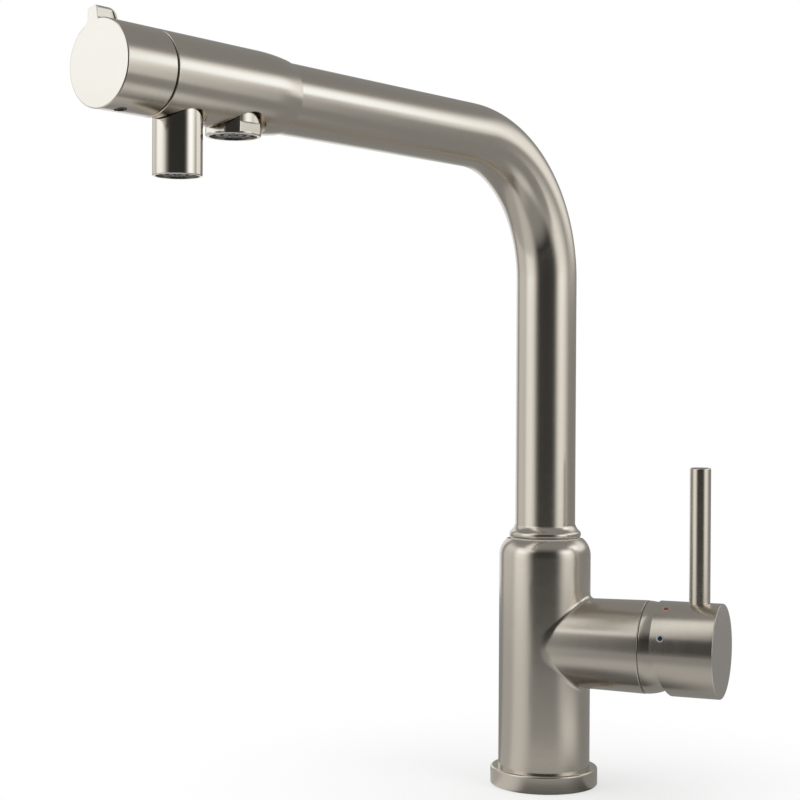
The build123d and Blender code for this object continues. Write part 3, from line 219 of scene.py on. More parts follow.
def angles(low=0.0, high=360.0, count=FULL_TURN):
    """Evenly spaced angles in radians, both ends among them."""
    return np.radians(np.linspace(low, high, count + 1))


def evenly(low, high, count):
    """Evenly spaced numbers, both ends among them."""
    return np.linspace(low, high, count + 1)


def shares(count):
    """Column of numbers from 0 to 1."""
    return evenly(0.0, 1.0, count)[:, None]


def swing(start, end, turn, t):
    """Spokes turned from start to end: (sin((1 - t) turn) start + sin(t turn) end) / sin(turn)."""
    return (np.sin((1 - t) * turn) * start + np.sin(t * turn) * end) / np.sin(turn)


def rounded(corners, radii, count=5):
    """Outline through the corners, turned at corner i by an arc of radius radii[i].

    The arc touches both straights at radius / tan(half angle) from the corner, its centre is
    on the bisector at radius / sin(half angle), and its points turn evenly round that centre.
    """
    corners = np.asarray(corners, float)
    parts = [corners[:1]]
    for before, corner, after, radius in zip(corners, corners[1:], corners[2:], radii):
        if radius == 0.0:
            parts.append(corner[None])
            continue
        back, on = unit(before - corner), unit(after - corner)
        half = 0.5 * np.arccos(np.clip(back @ on, -1.0, 1.0))
        centre = corner + unit(back + on) * radius / np.sin(half)
        start = corner + back * radius / np.tan(half) - centre
        end = corner + on * radius / np.tan(half) - centre
        parts.append(centre + swing(start, end, np.pi - 2.0 * half, shares(count)))
    parts.append(corners[-1:])
    return np.concatenate(parts)


def arc(centre, radius, start, end, count):
    """Points centre + radius (cos a, sin a) for a from start to end, in degrees."""
    a = angles(start, end, count)[:, None]
    return np.asarray(centre, float) + radius * np.hstack((np.cos(a), np.sin(a)))


def arc_through(first, second, third, count):
    """Circle arc through three points, whose centre is as far from each of them."""
    a, b, c = (np.array(point) for point in (first, second, third))
    ab, ac = b - a, c - a
    cross = 2.0 * (ab[0] * ac[1] - ab[1] * ac[0])
    to_b, to_c = ab @ ab, ac @ ac
    centre = a + np.array((ac[1] * to_b - ab[1] * to_c, ab[0] * to_c - ac[0] * to_b)) / cross
    start, end = a - centre, c - centre
    turn = np.arccos(np.clip(start @ end / (start @ start), -1, 1))
    return centre + swing(start, end, turn, shares(count))


def place(about, along, radius, angle):
    """Points origin + along axis + radius (cos(angle) first + sin(angle) second)."""
    along, radius, angle = (part[..., None] for part in np.broadcast_arrays(along, radius, angle))
    round_it = np.cos(angle) * about.first + np.sin(angle) * about.second
    return about.origin + along * about.axis + radius * round_it


def grain_of(radius, angle, along):
    """Coordinates of the brushed grain: (r cos a, r sin a, distance along the outline)."""
    radius, angle, along = np.broadcast_arrays(radius, angle, along)
    return np.stack((radius * np.cos(angle), radius * np.sin(angle), along), -1)


def turned(outline, about, around=None):
    """Surface of revolution: outline point (x, r) goes to axis x + r (cos a, sin a)."""
    around = angles() if around is None else around
    outline = np.asarray(outline, float)
    lengths = np.linalg.norm(np.diff(outline, axis=0), axis=1)
    run = outline[0, 0] + np.concatenate(([0.0], np.cumsum(lengths)))
    points = place(about, outline[:, :1], outline[:, 1:], around[None])
    grain = grain_of(np.full_like(outline[:, 1:], outline[:, 1].max()), around[None], run[:, None])
    return Patch(points, grain)


def round_sheet(about, along, radius, angle, keep=None):
    """Sheet on a round body: grids of distance along the axis, radius and angle."""
    return Patch(place(about, along, radius, angle), grain_of(radius, angle, along), keep)


def plain(points):
    """Patch whose grain is its own place."""
    return Patch(points, points)


def between(start, end, count):
    """Ruled rows of points from one line of points to another."""
    t = shares(count)[..., None]
    return start[None] * (1 - t) + end[None] * t


def border(grid, window):
    """The grid's values round a window's edge, from its low corner and back to it."""
    (j0, j1), (i0, i1) = window.rows, window.columns
    low, high_side = grid[j0, i0:i1], grid[j0:j1, i1]
    top, low_side = grid[j1, i0 + 1 : i1 + 1][::-1], grid[j0 + 1 : j1 + 1, i0][::-1]
    return np.concatenate((low, high_side, top, low_side, low[:1]))


def centred(edge):
    """Numbers from -1 to 1 across an edge's own range."""
    return (edge - 0.5 * (edge.max() + edge.min())) / (0.5 * np.ptp(edge))


def pierced(along, angle, windows, rows):
    """Grid with windows left out, and round each hole a ring that fills its window.

    A ring's point is rim(d) (1 - t) + edge t, where d is the edge point's own direction from
    the window's middle, as an angle, and t goes from 0 at the hole to 1 at the edge: a share
    to the power CROWDING, which draws the rows together at the hole.
    Returns the mask of cells to keep and, for each window, its ring's two coordinate grids
    and the directions.
    """
    keep = np.ones((along.shape[0] - 1, along.shape[1] - 1), bool)
    t, rings = shares(rows) ** CROWDING, []
    for window in windows:
        keep[slice(*window.rows), slice(*window.columns)] = False
        edge_along, edge_angle = border(along, window), border(angle, window)
        direction = np.arctan2(centred(edge_angle), centred(edge_along))
        rim_along, rim_angle = window.rim(direction)
        ring_along, ring_angle = (
            rim * (1 - t) + edge * t for rim, edge in ((rim_along, edge_along), (rim_angle, edge_angle))
        )
        rings.append((ring_along, ring_angle, direction))
    return keep, rings


def bored(at, hole, radius_at, middle=0.0):
    """Rim of a hole square to a round body: (at + h cos d, middle + arcsin(h sin d / r))."""

    def rim(direction):
        """The rim's distance along the axis and its angle, at a direction round the hole."""
        along = at + hole * np.cos(direction)
        return along, middle + np.arcsin(hole * np.sin(direction) / radius_at(along))

    return rim


def steady(radius):
    """Radius that is the same all along a body."""
    return lambda along: np.full_like(along, radius)


def drilled(about, along, around, windows, radius_at, rows):
    """Sheet on a round body with a drilled hole in each window.

    A hole has a ring round its rim, ruled walls, and a floor: the rim moved along the window's
    direction into the body, to a level across that direction, and by 0.02 at the least.
    """
    along, angle = np.broadcast_arrays(along, around[None])
    keep, rings = pierced(along, angle, windows, rows)
    patches = [round_sheet(about, along, radius_at(along), angle, keep)]
    for (ring_along, ring_angle, _), window in zip(rings, windows):
        patches.append(round_sheet(about, ring_along, radius_at(ring_along), ring_angle))
        rim, into = patches[-1].points[0], window.into
        floor = rim + np.maximum(window.level - rim @ into, 0.02)[:, None] * into
        middle = np.broadcast_to(floor[:-1].mean(axis=0), floor.shape)
        patches += [plain(between(rim, floor, 3)), plain(between(floor, middle, 3))]
    return patches


def skin_of(name, patches):
    """One mesh in metres from patches welded along their shared edges.

    Cell (row, column) of a grid with n columns joins points row n + column, the next one, and
    the two in the row above them.
    """
    points, grains, faces, start = [], [], [], 0
    for patch in patches:
        rows, columns = patch.points.shape[:2]
        index = start + np.arange(rows * columns).reshape(rows, columns)
        cells = np.stack((index[:-1, :-1], index[:-1, 1:], index[1:, 1:], index[1:, :-1]), -1)
        faces.append(cells.reshape(-1, 4) if patch.keep is None else cells[patch.keep])
        points.append(patch.points.reshape(-1, 3))
        grains.append(np.broadcast_to(patch.grain, patch.points.shape).reshape(-1, 3))
        start += rows * columns
    used, faces = np.unique(np.concatenate(faces), return_inverse=True)
    mesh = bpy.data.meshes.new(name)
    mesh.vertices.add(len(used))
    mesh.vertices.foreach_set("co", (np.concatenate(points)[used] * MM).ravel())
    mesh.loops.add(faces.size)
    mesh.loops.foreach_set("vertex_index", faces.ravel())
    mesh.polygons.add(faces.size // 4)
    mesh.polygons.foreach_set("loop_start", np.arange(0, faces.size, 4))
    mesh.update(calc_edges=True)
    grain = mesh.attributes.new("grain", "FLOAT_VECTOR", "POINT")
    grain.data.foreach_set("vector", (np.concatenate(grains)[used] * MM).ravel())
    bm = bmesh.new()
    bm.from_mesh(mesh)
    bmesh.ops.remove_doubles(bm, verts=bm.verts, dist=1e-6)
    bmesh.ops.recalc_face_normals(bm, faces=bm.faces)
    bm.to_mesh(mesh)
    bm.free()
    return mesh


def linked(name, data):
    """Object of a mesh, lamp or camera in the scene, at the origin."""
    item = bpy.data.objects.new(name, data)
    bpy.context.scene.collection.objects.link(item)
    return item


def cut_out(mesh, drills):
    """The mesh with the drills' shapes taken out of it."""
    name = mesh.name
    blank, tool = linked("blank", mesh), linked("drills", skin_of("drills", drills))
    cut = blank.modifiers.new("Drill", "BOOLEAN")
    cut.operation, cut.object, cut.solver = "DIFFERENCE", tool, "EXACT"
    graph = bpy.context.evaluated_depsgraph_get()
    result = bpy.data.meshes.new_from_object(blank.evaluated_get(graph))
    for item in (blank, tool):
        bpy.data.objects.remove(item)
    bpy.data.meshes.remove(mesh)
    result.name = name
    return result


def make_piece(name, node, body, patches, slot="brushed_nickel", drills=()):
    """Piece in a slot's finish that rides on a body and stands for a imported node."""
    mesh = skin_of(name, patches)
    if drills:
        mesh = cut_out(mesh, drills)
    mesh.shade_smooth()
    mesh.set_sharp_from_angle(angle=np.radians(32.0))
    mesh.materials.clear()
    mesh.materials.append(finish(slot))
    piece = linked(name, mesh)
    piece.modifiers.new("Even shading", "WEIGHTED_NORMAL").keep_sharp = True
    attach(piece, body)
    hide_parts(node)


# Finishes: node trees written as arithmetic


class Value:
    """A number or colour that a node tree works out, with Python's operators."""

    def __init__(self, nodes, socket):
        self.nodes, self.socket = nodes, socket

    def __add__(self, other):
        return self.nodes.maths("ADD", self, other)

    def __mul__(self, other):
        return self.nodes.maths("MULTIPLY", self, other)

    def __sub__(self, other):
        return self.nodes.maths("SUBTRACT", self, other)

    def __rsub__(self, other):
        return self.nodes.maths("SUBTRACT", other, self)

    def __mod__(self, other):
        return self.nodes.maths("MODULO", self, other)

    def __rmod__(self, other):
        return self.nodes.maths("MODULO", other, self)

    def __pow__(self, other):
        return self.nodes.maths("POWER", self, other)

    def __rpow__(self, other):
        return self.nodes.maths("POWER", other, self)

    __radd__, __rmul__ = __add__, __mul__

    def step(self, low, high):
        """0 below low, 1 above high, and a smooth rise between them."""
        inputs = {"Value": self, "From Min": low, "From Max": high}
        return self.nodes.make("MapRange", {"interpolation_type": "SMOOTHSTEP"}, inputs)


class Nodes:
    """Adds nodes to one material's or world's tree."""

    def __init__(self, owner):
        owner.use_nodes = True
        self.tree = owner.node_tree
        self.tree.nodes.clear()

    def make(self, kind, settings, inputs, output=0):
        """Shader node of a kind with its settings, then its sockets' values or links."""
        node = self.tree.nodes.new(f"ShaderNode{kind}")
        for name, value in settings.items():
            setattr(node, name, value)
        for name, item in inputs.items():
            if isinstance(item, Value):
                self.tree.links.new(item.socket, node.inputs[name])
            else:
                node.inputs[name].default_value = item
        return Value(self, node.outputs[output]) if node.outputs else node

    def maths(self, operation, first, second):
        """Number from two others in order."""
        return self.make("Math", {"operation": operation}, {0: first, 1: second})

    def noise(self, vector, scale, detail=2.0, roughness=0.5):
        """Noise between about 0.2 and 0.8."""
        inputs = {"Vector": vector, "Scale": scale, "Detail": detail, "Roughness": roughness}
        return self.make("TexNoise", {}, inputs)

    def place(self):
        """Object coordinates."""
        return self.make("TexCoord", {}, {}, "Object")

    def grain(self):
        """The piece's own grain coordinates."""
        return self.make("Attribute", {"attribute_name": "grain"}, {}, "Vector")

    def distance(self, vector):
        """Length of a vector."""
        return self.make("VectorMath", {"operation": "LENGTH"}, {0: vector}, "Value")

    def blend(self, factor, first, second):
        """Colour between two colours."""
        return self.make("Mix", {"data_type": "RGBA"}, {0: factor, 6: first, 7: second}, 2)

    def bump(self, height, strength, distance):
        """Normal from a height."""
        return self.make("Bump", {}, {"Height": height, "Strength": strength, "Distance": distance})

    def seen(self):
        """1 for the rays that show the background: the camera's, glossy and transmitted ones."""
        rays = ("Is Camera Ray", "Is Glossy Ray", "Is Transmission Ray")
        camera, glossy, through = (self.make("LightPath", {}, {}, ray) for ray in rays)
        return self.maths("MAXIMUM", self.maths("MAXIMUM", camera, glossy), through)

    def surface(self, kind, inputs):
        """Shader of a kind at the end of a material's tree."""
        self.make("OutputMaterial", {}, {"Surface": self.make(kind, {}, inputs)})


def rgba(values, factor=1.0):
    """Colour with full alpha, made lighter or darker by a factor."""
    return (*(min(1.0, part * factor) for part in values), 1.0)


def metal(n, tint, roughness, depth, where):
    """Metal with a brushed grain, noise drawn out along one coordinate, and faint clouding."""
    fine = n.make("VectorMath", {"operation": "MULTIPLY"}, {0: where, 1: (70.0, 70.0, 1700.0)})
    lines, clouds = n.noise(fine, 1.0, 4.0, 0.65), n.noise(where, 26.0, 3.0)
    return {
        "Base Color": n.blend(clouds, rgba(tint, 0.965), rgba(tint, 1.03)),
        "Metallic": 1.0,
        "Roughness": roughness + (lines - 0.5) * 0.12 + (clouds - 0.5) * 0.05,
        "Normal": n.bump(lines, depth, 0.0002),
    }


def moulded(n, tint, roughness, speckle, scale, coat=0.0):
    """Moulded surface with a fine skin and a slight drift of its colour."""
    where = n.place()
    skin, drift = n.noise(where, scale, 4.0, 0.6), n.noise(where, 90.0)
    return {
        "Base Color": n.blend(drift, rgba(tint, 1.0 - speckle), rgba(tint, 1.0 + speckle)),
        "Roughness": roughness + (skin - 0.5) * 0.16,
        "Coat Weight": coat,
        "Normal": n.bump(skin, 0.12, 0.0001),
    }


def enamelled(n, tint, rim_tint):
    """Enamel inside a bare metal rim, by the distance from the dot's middle."""
    rim = n.distance(n.grain()).step(0.00104, 0.0012)
    shader = moulded(n, tint, 0.45, 0.08, 2500.0)
    shader["Base Color"] = n.blend(rim, shader["Base Color"], rgba(rim_tint, 1.08))
    shader["Metallic"], shader["Specular IOR Level"] = rim, 0.15
    return shader


def finish(slot):
    """The material of a slot, made when it is first asked for."""
    name = f"{slot}_finish"
    if name in bpy.data.materials:
        return bpy.data.materials[name]
    f = bpy.context.scene.tap_finishes
    material = bpy.data.materials.new(name)
    n = Nodes(material)
    shader = {
        "brushed_nickel": lambda: metal(n, f.nickel, f.nickel_roughness, f.brush_depth, n.grain()),
        "polished_nickel": lambda: metal(n, f.nickel, f.polish_roughness, 0.4 * f.brush_depth, n.grain()),
        "brass": lambda: metal(n, f.brass, 0.26, 0.1, n.place()),
        "stainless_steel": lambda: metal(n, f.steel, 0.3, 0.1, n.place()),
        "black_rubber": lambda: moulded(n, f.rubber, 0.62, 0.12, 4000.0),
        "dark_plastic": lambda: moulded(n, f.dark, 0.34, 0.15, 5000.0),
        "bearing_plastic": lambda: moulded(n, f.acetal, 0.42, 0.03, 3500.0),
        "pipe_plastic": lambda: moulded(n, f.pipe, 0.34, 0.03, 3000.0),
        "ceramic": lambda: moulded(n, f.ceramic, 0.12, 0.02, 6000.0, 0.3),
        "red_enamel": lambda: enamelled(n, f.red, f.nickel),
        "blue_enamel": lambda: enamelled(n, f.blue, f.nickel),
    }[slot]()
    n.surface("BsdfPrincipled", shader)
    return material


# Pieces


class TapOperator:
    """What the tap's operators share. An error in one of them stops the script."""

    bl_options = {"REGISTER", "UNDO"}


class TAP_OT_base_flange(TapOperator, Operator):
    """Round flange that the column stands in, with the gasket's groove underneath"""

    bl_idname = "tap.base_flange"
    bl_label = "Base Flange"

    def execute(self, context):
        """Section of the ring, turned about the column's axis."""
        s = Millimetres()
        bore, groove, width, deep = s.body_radius - 1.95, 20.75, 2.9, 2.0
        corners = [(0.0, bore), (0.0, groove), (deep, groove), (deep, groove + width)]
        corners += [(0.0, groove + width), (0.0, s.base_radius), (s.base_height, s.base_radius)]
        corners += [(s.base_height, bore), (0.0, bore)]
        outline = rounded(corners, (0, 0, 0, 0, s.base_edge, s.base_edge, 0), 8)
        make_piece("base_ring", "base_flange", "body", [turned(outline, column_spindle())])
        return {"FINISHED"}


class TAP_OT_body_casting(TapOperator, Operator):
    """Column and side branch in one skin, with the blend between them and the holes in them"""

    bl_idname = "tap.body_casting"
    bl_label = "Body Casting"

    def execute(self, context):
        """Column of one radius, as a turned foot, the branch's band, the screw's band and the top."""
        s = Millimetres()
        about, radius, spigot, low, high = column_spindle(), s.body_radius, s.body_radius - 2.0, 40.0, 95.0
        round_all, shoulder = angles(-90.0, 270.0), s.body_height - s.shoulder_drop
        foot = [(UNDERSIDE, 0.0), (UNDERSIDE, spigot), (s.base_height, spigot), (s.base_height, radius)]
        foot += [(height, radius) for height in evenly(s.base_height, low, 8)[1:]]
        patches = [turned(foot, about, round_all), *self.branch(s, about, low, high)]

        # Band under the shoulder, with the spout stop screw's hole at the rear
        screw_height, screw_hole, half, floor = 102.0, 2.55, 3.7, 17.0
        rows = evenly(screw_height - half, screw_height + half, 8)
        rows = np.concatenate(([high], rows, [shoulder]))[:, None]
        rim = bored(screw_height, screw_hole, steady(radius), np.pi / 2)
        window = Window((1, 9), (HALF_TURN - 4, HALF_TURN + 4), rim, TO_USER, -floor)
        patches += drilled(about, rows, round_all, [window], steady(radius), 4)

        # Shoulder: an arc that leaves the column upright and meets the flat at its edge
        drop, inset, bearing, bearing_floor = s.shoulder_drop, radius - s.shoulder_flat, 15.3, 90.0
        curve = (drop**2 + inset**2) / (2.0 * inset)
        sweep = np.degrees(np.arcsin(drop / curve))
        bend = arc((radius - curve, shoulder), curve, 0.0, sweep, 14)[:, ::-1]
        top = np.array([(s.body_height, bearing), (bearing_floor, bearing), (bearing_floor, 0.0)])
        patches.append(turned(np.concatenate((bend, top)), about, round_all))

        # Three inlets and two fixing studs: x, y, radius and depth
        holes = [(9.0, 10.0, 4.46, 12.0), (9.0, -10.0, 4.46, 12.0), (0.0, 0.0, 4.46, 12.0)]
        holes += [(-9.0, 9.5, 3.32, 14.0), (-9.0, -9.5, 3.32, 14.0)]
        drills = [self.drill(*hole) for hole in holes]
        make_piece("body_shell", "body_casting", "body", patches, drills=drills)
        return {"FINISHED"}

    def blend_line(self, s, phi):
        """Rolling ball between the column and the branch's cone, at angles from straight up.

        The ball's centre is (x, q sin(phi), q cos(phi)) from the branch's axis, where
        q = root + x tan(a) + ball / cos(a) and x squared + (q sin(phi)) squared =
        (column + ball) squared, each worked out from the other in turn until both hold. The
        ball grows from the blend's radius by SIDE_BLEND times sin(phi) to the SIDE_POWER
        towards the sides, where the two skins run into each other. Returns the centre and
        where the ball touches each.
        """
        lean = np.arctan((s.branch_end - s.branch_root) / s.branch_length)
        ball = s.branch_blend + SIDE_BLEND * np.sin(phi) ** SIDE_POWER
        reach = s.body_radius + ball
        x = 0.5 * reach
        for _ in range(60):
            q = s.branch_root + x * np.tan(lean) + ball / np.cos(lean)
            x = np.sqrt(reach**2 - (q * np.sin(phi)) ** 2)
        centre = np.stack((x, q * np.sin(phi), q * np.cos(phi)), -1)
        share_in = s.body_radius / reach
        on_column = centre * np.stack((share_in, share_in, np.ones_like(x)), -1)
        near, out = q - ball * np.cos(lean), x + ball * np.sin(lean)
        on_branch = np.stack((out, near * np.sin(phi), near * np.cos(phi)), -1)
        return centre, on_column, on_branch

    def branch(self, s, about, low, high):
        """Band of the column with the branch's mouth, then the blend, the branch and its pocket.

        The blend's spokes swing from the column to the branch, and the branch is a cone,
        r = root + x (end - root) / length, up to its turned end.
        """
        heights = evenly(low, high, 60)[:, None]
        front, back = angles(-90.0, 90.0, HALF_TURN), angles(90.0, 270.0, HALF_TURN)
        patches = [round_sheet(about, heights, s.body_radius, back[None])]

        def mouth(direction):
            """The blend's edge on the column, at a direction from the branch's axis."""
            on_column = self.blend_line(s, direction)[1]
            return on_column[..., 2] + s.branch_height, np.arctan2(on_column[..., 1], on_column[..., 0])

        along, angle = np.broadcast_arrays(heights, front[None])
        _, rings = pierced(along, angle, [Window((0, 60), (0, HALF_TURN), mouth)], 10)
        ring_along, ring_angle, direction = rings[0]
        patches.append(round_sheet(about, ring_along, s.body_radius, ring_angle))
        centre, on_column, on_branch = self.blend_line(s, direction)
        first, last = on_column - centre, on_branch - centre
        turn = np.arccos(np.clip((first * last).sum(-1) / (first * first).sum(-1), -1, 1))[:, None]
        patches.append(plain(centre + swing(first, last, turn, shares(10)[..., None]) + UP * s.branch_height))

        edge, pocket, pocket_floor = 0.45, 18.6, 38.0
        length, slope = s.branch_length, (s.branch_end - s.branch_root) / s.branch_length
        t, around, rim = shares(14), branch_spindle(s), s.branch_root + (length - edge) * slope
        x = on_branch[:, 0] * (1 - t) + (length - edge) * t
        patches.append(round_sheet(around, x, s.branch_root + x * slope, -direction[None]))
        corners = [(length - edge, rim), (length, rim + 0.002), (length, pocket)]
        corners += [(pocket_floor, pocket), (pocket_floor, 0.0)]
        patches.append(turned(rounded(corners, (0.42, 0.0, 0.0)), around, -direction))
        return patches

    def drill(self, x, y, radius, deep):
        """Drill for an inlet or a stud, up into the flat underside."""
        top = UNDERSIDE + deep
        outline = [(0.0, 0.0), (0.0, radius), (top, radius), (top, 0.0)]
        return turned(outline, spindle((x, y, 0.0), UP, ALONG_BRANCH), angles(count=48))


class TAP_OT_dome_cover(TapOperator, Operator):
    """Band of a sphere between the branch and the handle"""

    bl_idname = "tap.dome_cover"
    bl_label = "Dome Cover"

    def execute(self, context):
        """Outer and inner arc about the lever's pivot, and a groove behind, turned about the branch."""
        s = Millimetres()
        centre, outer, inner = (s.branch_length, 0.0), s.dome_radius, s.dome_radius - 1.8
        reach, seam, sunk, back = 12.4, 0.75, outer - 0.9, s.branch_length + 0.1
        first = np.degrees(np.arccos(seam / outer))
        outside = arc(centre, outer, first, np.degrees(np.arccos(reach / outer)), 24)
        inside = arc(centre, inner, np.degrees(np.arccos(reach / inner)), 80.0, 10)
        rest = [(back, inside[-1, 1]), (back, sunk), (s.branch_length + seam, sunk), outside[0]]
        outline = np.concatenate((outside, inside, rest))
        make_piece("dome_band", "dome_cover", "body", [turned(outline, branch_spindle(s))])
        return {"FINISHED"}


class TAP_OT_spout_collar(TapOperator, Operator):
    """Collar of two bulges where the spout leaves the body"""

    bl_idname = "tap.spout_collar"
    bl_label = "Spout Collar"

    def execute(self, context):
        """Two arcs from the bottom to the waist and the lip, turned about the column's axis."""
        s = Millimetres()
        bottom, waist, bore = s.body_height + 0.6, s.collar_radius - 0.7, s.tube_radius + FIT
        top, waist_height, lip = bottom + s.collar_height, bottom + 3.1, bore + 0.15
        widest = (bottom + 1.8, s.collar_radius)
        middle = ((waist_height + top) / 2, (waist + lip) / 2 - 0.3)
        lower = arc_through((bottom, waist), widest, (waist_height, waist), 12)
        upper = arc_through((waist_height, waist), middle, (top, lip), 10)
        outline = np.concatenate((lower, upper[1:], [(top, bore), (bottom, bore), (bottom, waist)]))
        make_piece("swivel_collar", "spout_collar", "spout", [turned(outline, column_spindle())])
        return {"FINISHED"}


class TAP_OT_spout_tube(TapOperator, Operator):
    """Tube up, round one bend and out along the arm, with its bore"""

    bl_idname = "tap.spout_tube"
    bl_label = "Spout Tube"

    def execute(self, context):
        """Circle carried along the path: centre(s) + r (cos a inward + sin a across).

        The path is a straight, a quarter circle and a straight in one upright plane, so the
        inward direction is the tangent turned by a quarter in that plane.
        """
        s = Millimetres()
        start, bend, wall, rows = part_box("spout_tube")[0][2] / MM, s.bend_radius, 1.5, 12
        rise, turn = s.arm_height - bend, angles(0.0, 90.0, 48)
        up_part, out_part = evenly(start, rise, rows)[:-1], evenly(bend, s.head_start + TUBE_SOCKET, rows)[1:]
        heights = np.concatenate((up_part, rise + bend * np.sin(turn), np.full(rows, s.arm_height)))
        reaches = np.concatenate((np.zeros(rows), bend * (1 - np.cos(turn)), out_part))
        lean = np.concatenate((np.zeros(rows), turn, np.full(rows, np.pi / 2)))[:, None, None]
        run = np.concatenate((up_part, rise + bend * turn, rise + bend * (np.pi / 2 - 1) + out_part))
        centre = reaches[:, None, None] * HEADING + heights[:, None, None] * UP
        inward = np.cos(lean) * HEADING - np.sin(lean) * UP
        round_it = angles()[None, :, None]
        spoke = np.cos(round_it) * inward + np.sin(round_it) * ACROSS
        grain = grain_of(s.tube_radius, angles()[None], run[:, None])
        outside, inside = centre + s.tube_radius * spoke, centre + (s.tube_radius - wall) * spoke
        ends = [plain(between(inside[k], outside[k], 1)) for k in (0, -1)]
        patches = [Patch(outside, grain), Patch(inside, grain), *ends]
        make_piece("spout_pipe", "spout_tube", "spout", patches)
        return {"FINISHED"}


class TAP_OT_spout_head(TapOperator, Operator):
    """Head on the arm's end, with the round seats of the two outlets in its underside"""

    bl_idname = "tap.spout_head"
    bl_label = "Spout Head"

    def execute(self, context):
        """Sheet of radius R - (c - sqrt(c squared - b squared)), with both seats and turned ends.

        b is how far a row lies behind the full part, and c = (shoulder squared + fall squared) /
        (2 fall) makes it one long arc down to the tube.
        """
        s = Millimetres()
        about, round_all = arm_spindle(s), angles(-180.0, 180.0)
        start, full, socket_floor = s.head_start, s.head_start + s.head_shoulder, s.head_start + TUBE_SOCKET
        edge, lip, bore = 0.4, s.tube_radius + 0.75, s.tube_radius + FIT
        fall = s.head_radius - lip
        curve = (s.head_shoulder**2 + fall**2) / (2.0 * fall)

        def radius_at(along):
            """The head's radius: a long arc down to the tube, then straight."""
            back = np.clip(full - along, 0.0, None)
            return s.head_radius - (curve - np.sqrt(curve**2 - back**2))

        rear, front = start + 0.9, s.head_end - edge
        main_rear, split, filter_front = 190.6, 218.2, 245.0  # edges of the two seats' windows
        rows = [evenly(rear, main_rear, 12), evenly(main_rear, split, 30)[1:]]
        rows += [evenly(split, filter_front, 28)[1:], [front]]
        main = bored(s.main_at, s.main_radius + s.main_gap, radius_at)
        filtered = bored(s.filter_at, s.filter_radius + s.filter_gap, radius_at)
        windows = [
            Window((12, 42), (HALF_TURN - 24, HALF_TURN + 24), main, UP, s.arm_height - MAIN_SEAT),
            Window((42, 70), (HALF_TURN - 20, HALF_TURN + 20), filtered, UP, s.arm_height - FILTER_SEAT),
        ]
        patches = drilled(about, np.concatenate(rows)[:, None], round_all, windows, radius_at, 8)
        corners = [(rear, radius_at(rear)), (start, lip), (start, bore), (socket_floor, bore)]
        patches.append(turned(rounded([*corners, (socket_floor, 0.0)], (0.6, 0.0, 0.0), 6), about, round_all))
        mouth, mouth_floor = 11.0, s.head_end - 6.1
        corners = [(front, s.head_radius), (s.head_end, s.head_radius), (s.head_end, mouth)]
        corners += [(mouth_floor, mouth), (mouth_floor, 0.0)]
        patches.append(turned(rounded(corners, (edge, 0.0, 0.0))[1:], about, round_all))
        make_piece("head_shell", "spout_head", "spout", patches)
        return {"FINISHED"}


class TAP_OT_outlets(TapOperator, Operator):
    """Mixed water outlet with four spanner flats, and the plain filtered water outlet"""

    bl_idname = "tap.outlets"
    bl_label = "Outlets"

    def execute(self, context):
        """Radius min(R, flat / cos(angle from the flat's middle)) in the mixed outlet's flats."""
        s = Millimetres()
        low, radius, spigot, lip, edge = s.head_radius + s.main_drop, s.main_radius, 8.8, 1.45, 0.35
        flat_top, flat_bottom, flat = low - 4.5, low - 0.8, radius - 1.3
        around, quarter, first_flat = angles(count=240), np.radians(90.0), np.radians(1.0)
        from_flat = np.mod(around - first_flat + quarter / 2, quarter) - quarter / 2
        section = self.section(low, MAIN_SEAT, spigot, radius, lip, edge, 4)
        band = [(height, radius) for height in (flat_top, flat_top, flat_bottom, flat_bottom)]
        rows = np.concatenate((section[:4], band, section[4:]))
        radii = np.repeat(rows[:, 1:], len(around), axis=1)
        radii[5:7] = np.minimum(radius, flat / np.cos(from_flat))
        sheet = round_sheet(outlet_spindle(s, s.main_at), rows[:, :1], radii, around[None])
        make_piece("mixed_outlet", "main_outlet", "spout", [sheet])
        low, radius, spigot, lip, edge = s.head_radius + s.filter_drop, s.filter_radius, 7.4, 1.15, 0.4
        section = self.section(low, FILTER_SEAT, spigot, radius, lip, edge, 5)
        patch = turned(section, outlet_spindle(s, s.filter_at))
        make_piece("filter_outlet_pipe", "filter_outlet", "spout", [patch], "polished_nickel")
        return {"FINISHED"}

    def section(self, low, seat, spigot, radius, lip, edge, count):
        """Spigot in the head, pipe down to its rounded lip, and the aerator's recess."""
        above, recess, aerator, inner_edge = seat - 2.4, low - 4.6, radius - lip, 0.15
        corners = [(above, 0.0), (above, spigot), (seat, spigot), (seat, radius)]
        corners += [(low, radius), (low, aerator), (recess, aerator), (recess, 0.0)]
        return rounded(corners, (0, 0, 0, edge, inner_edge, 0), count)


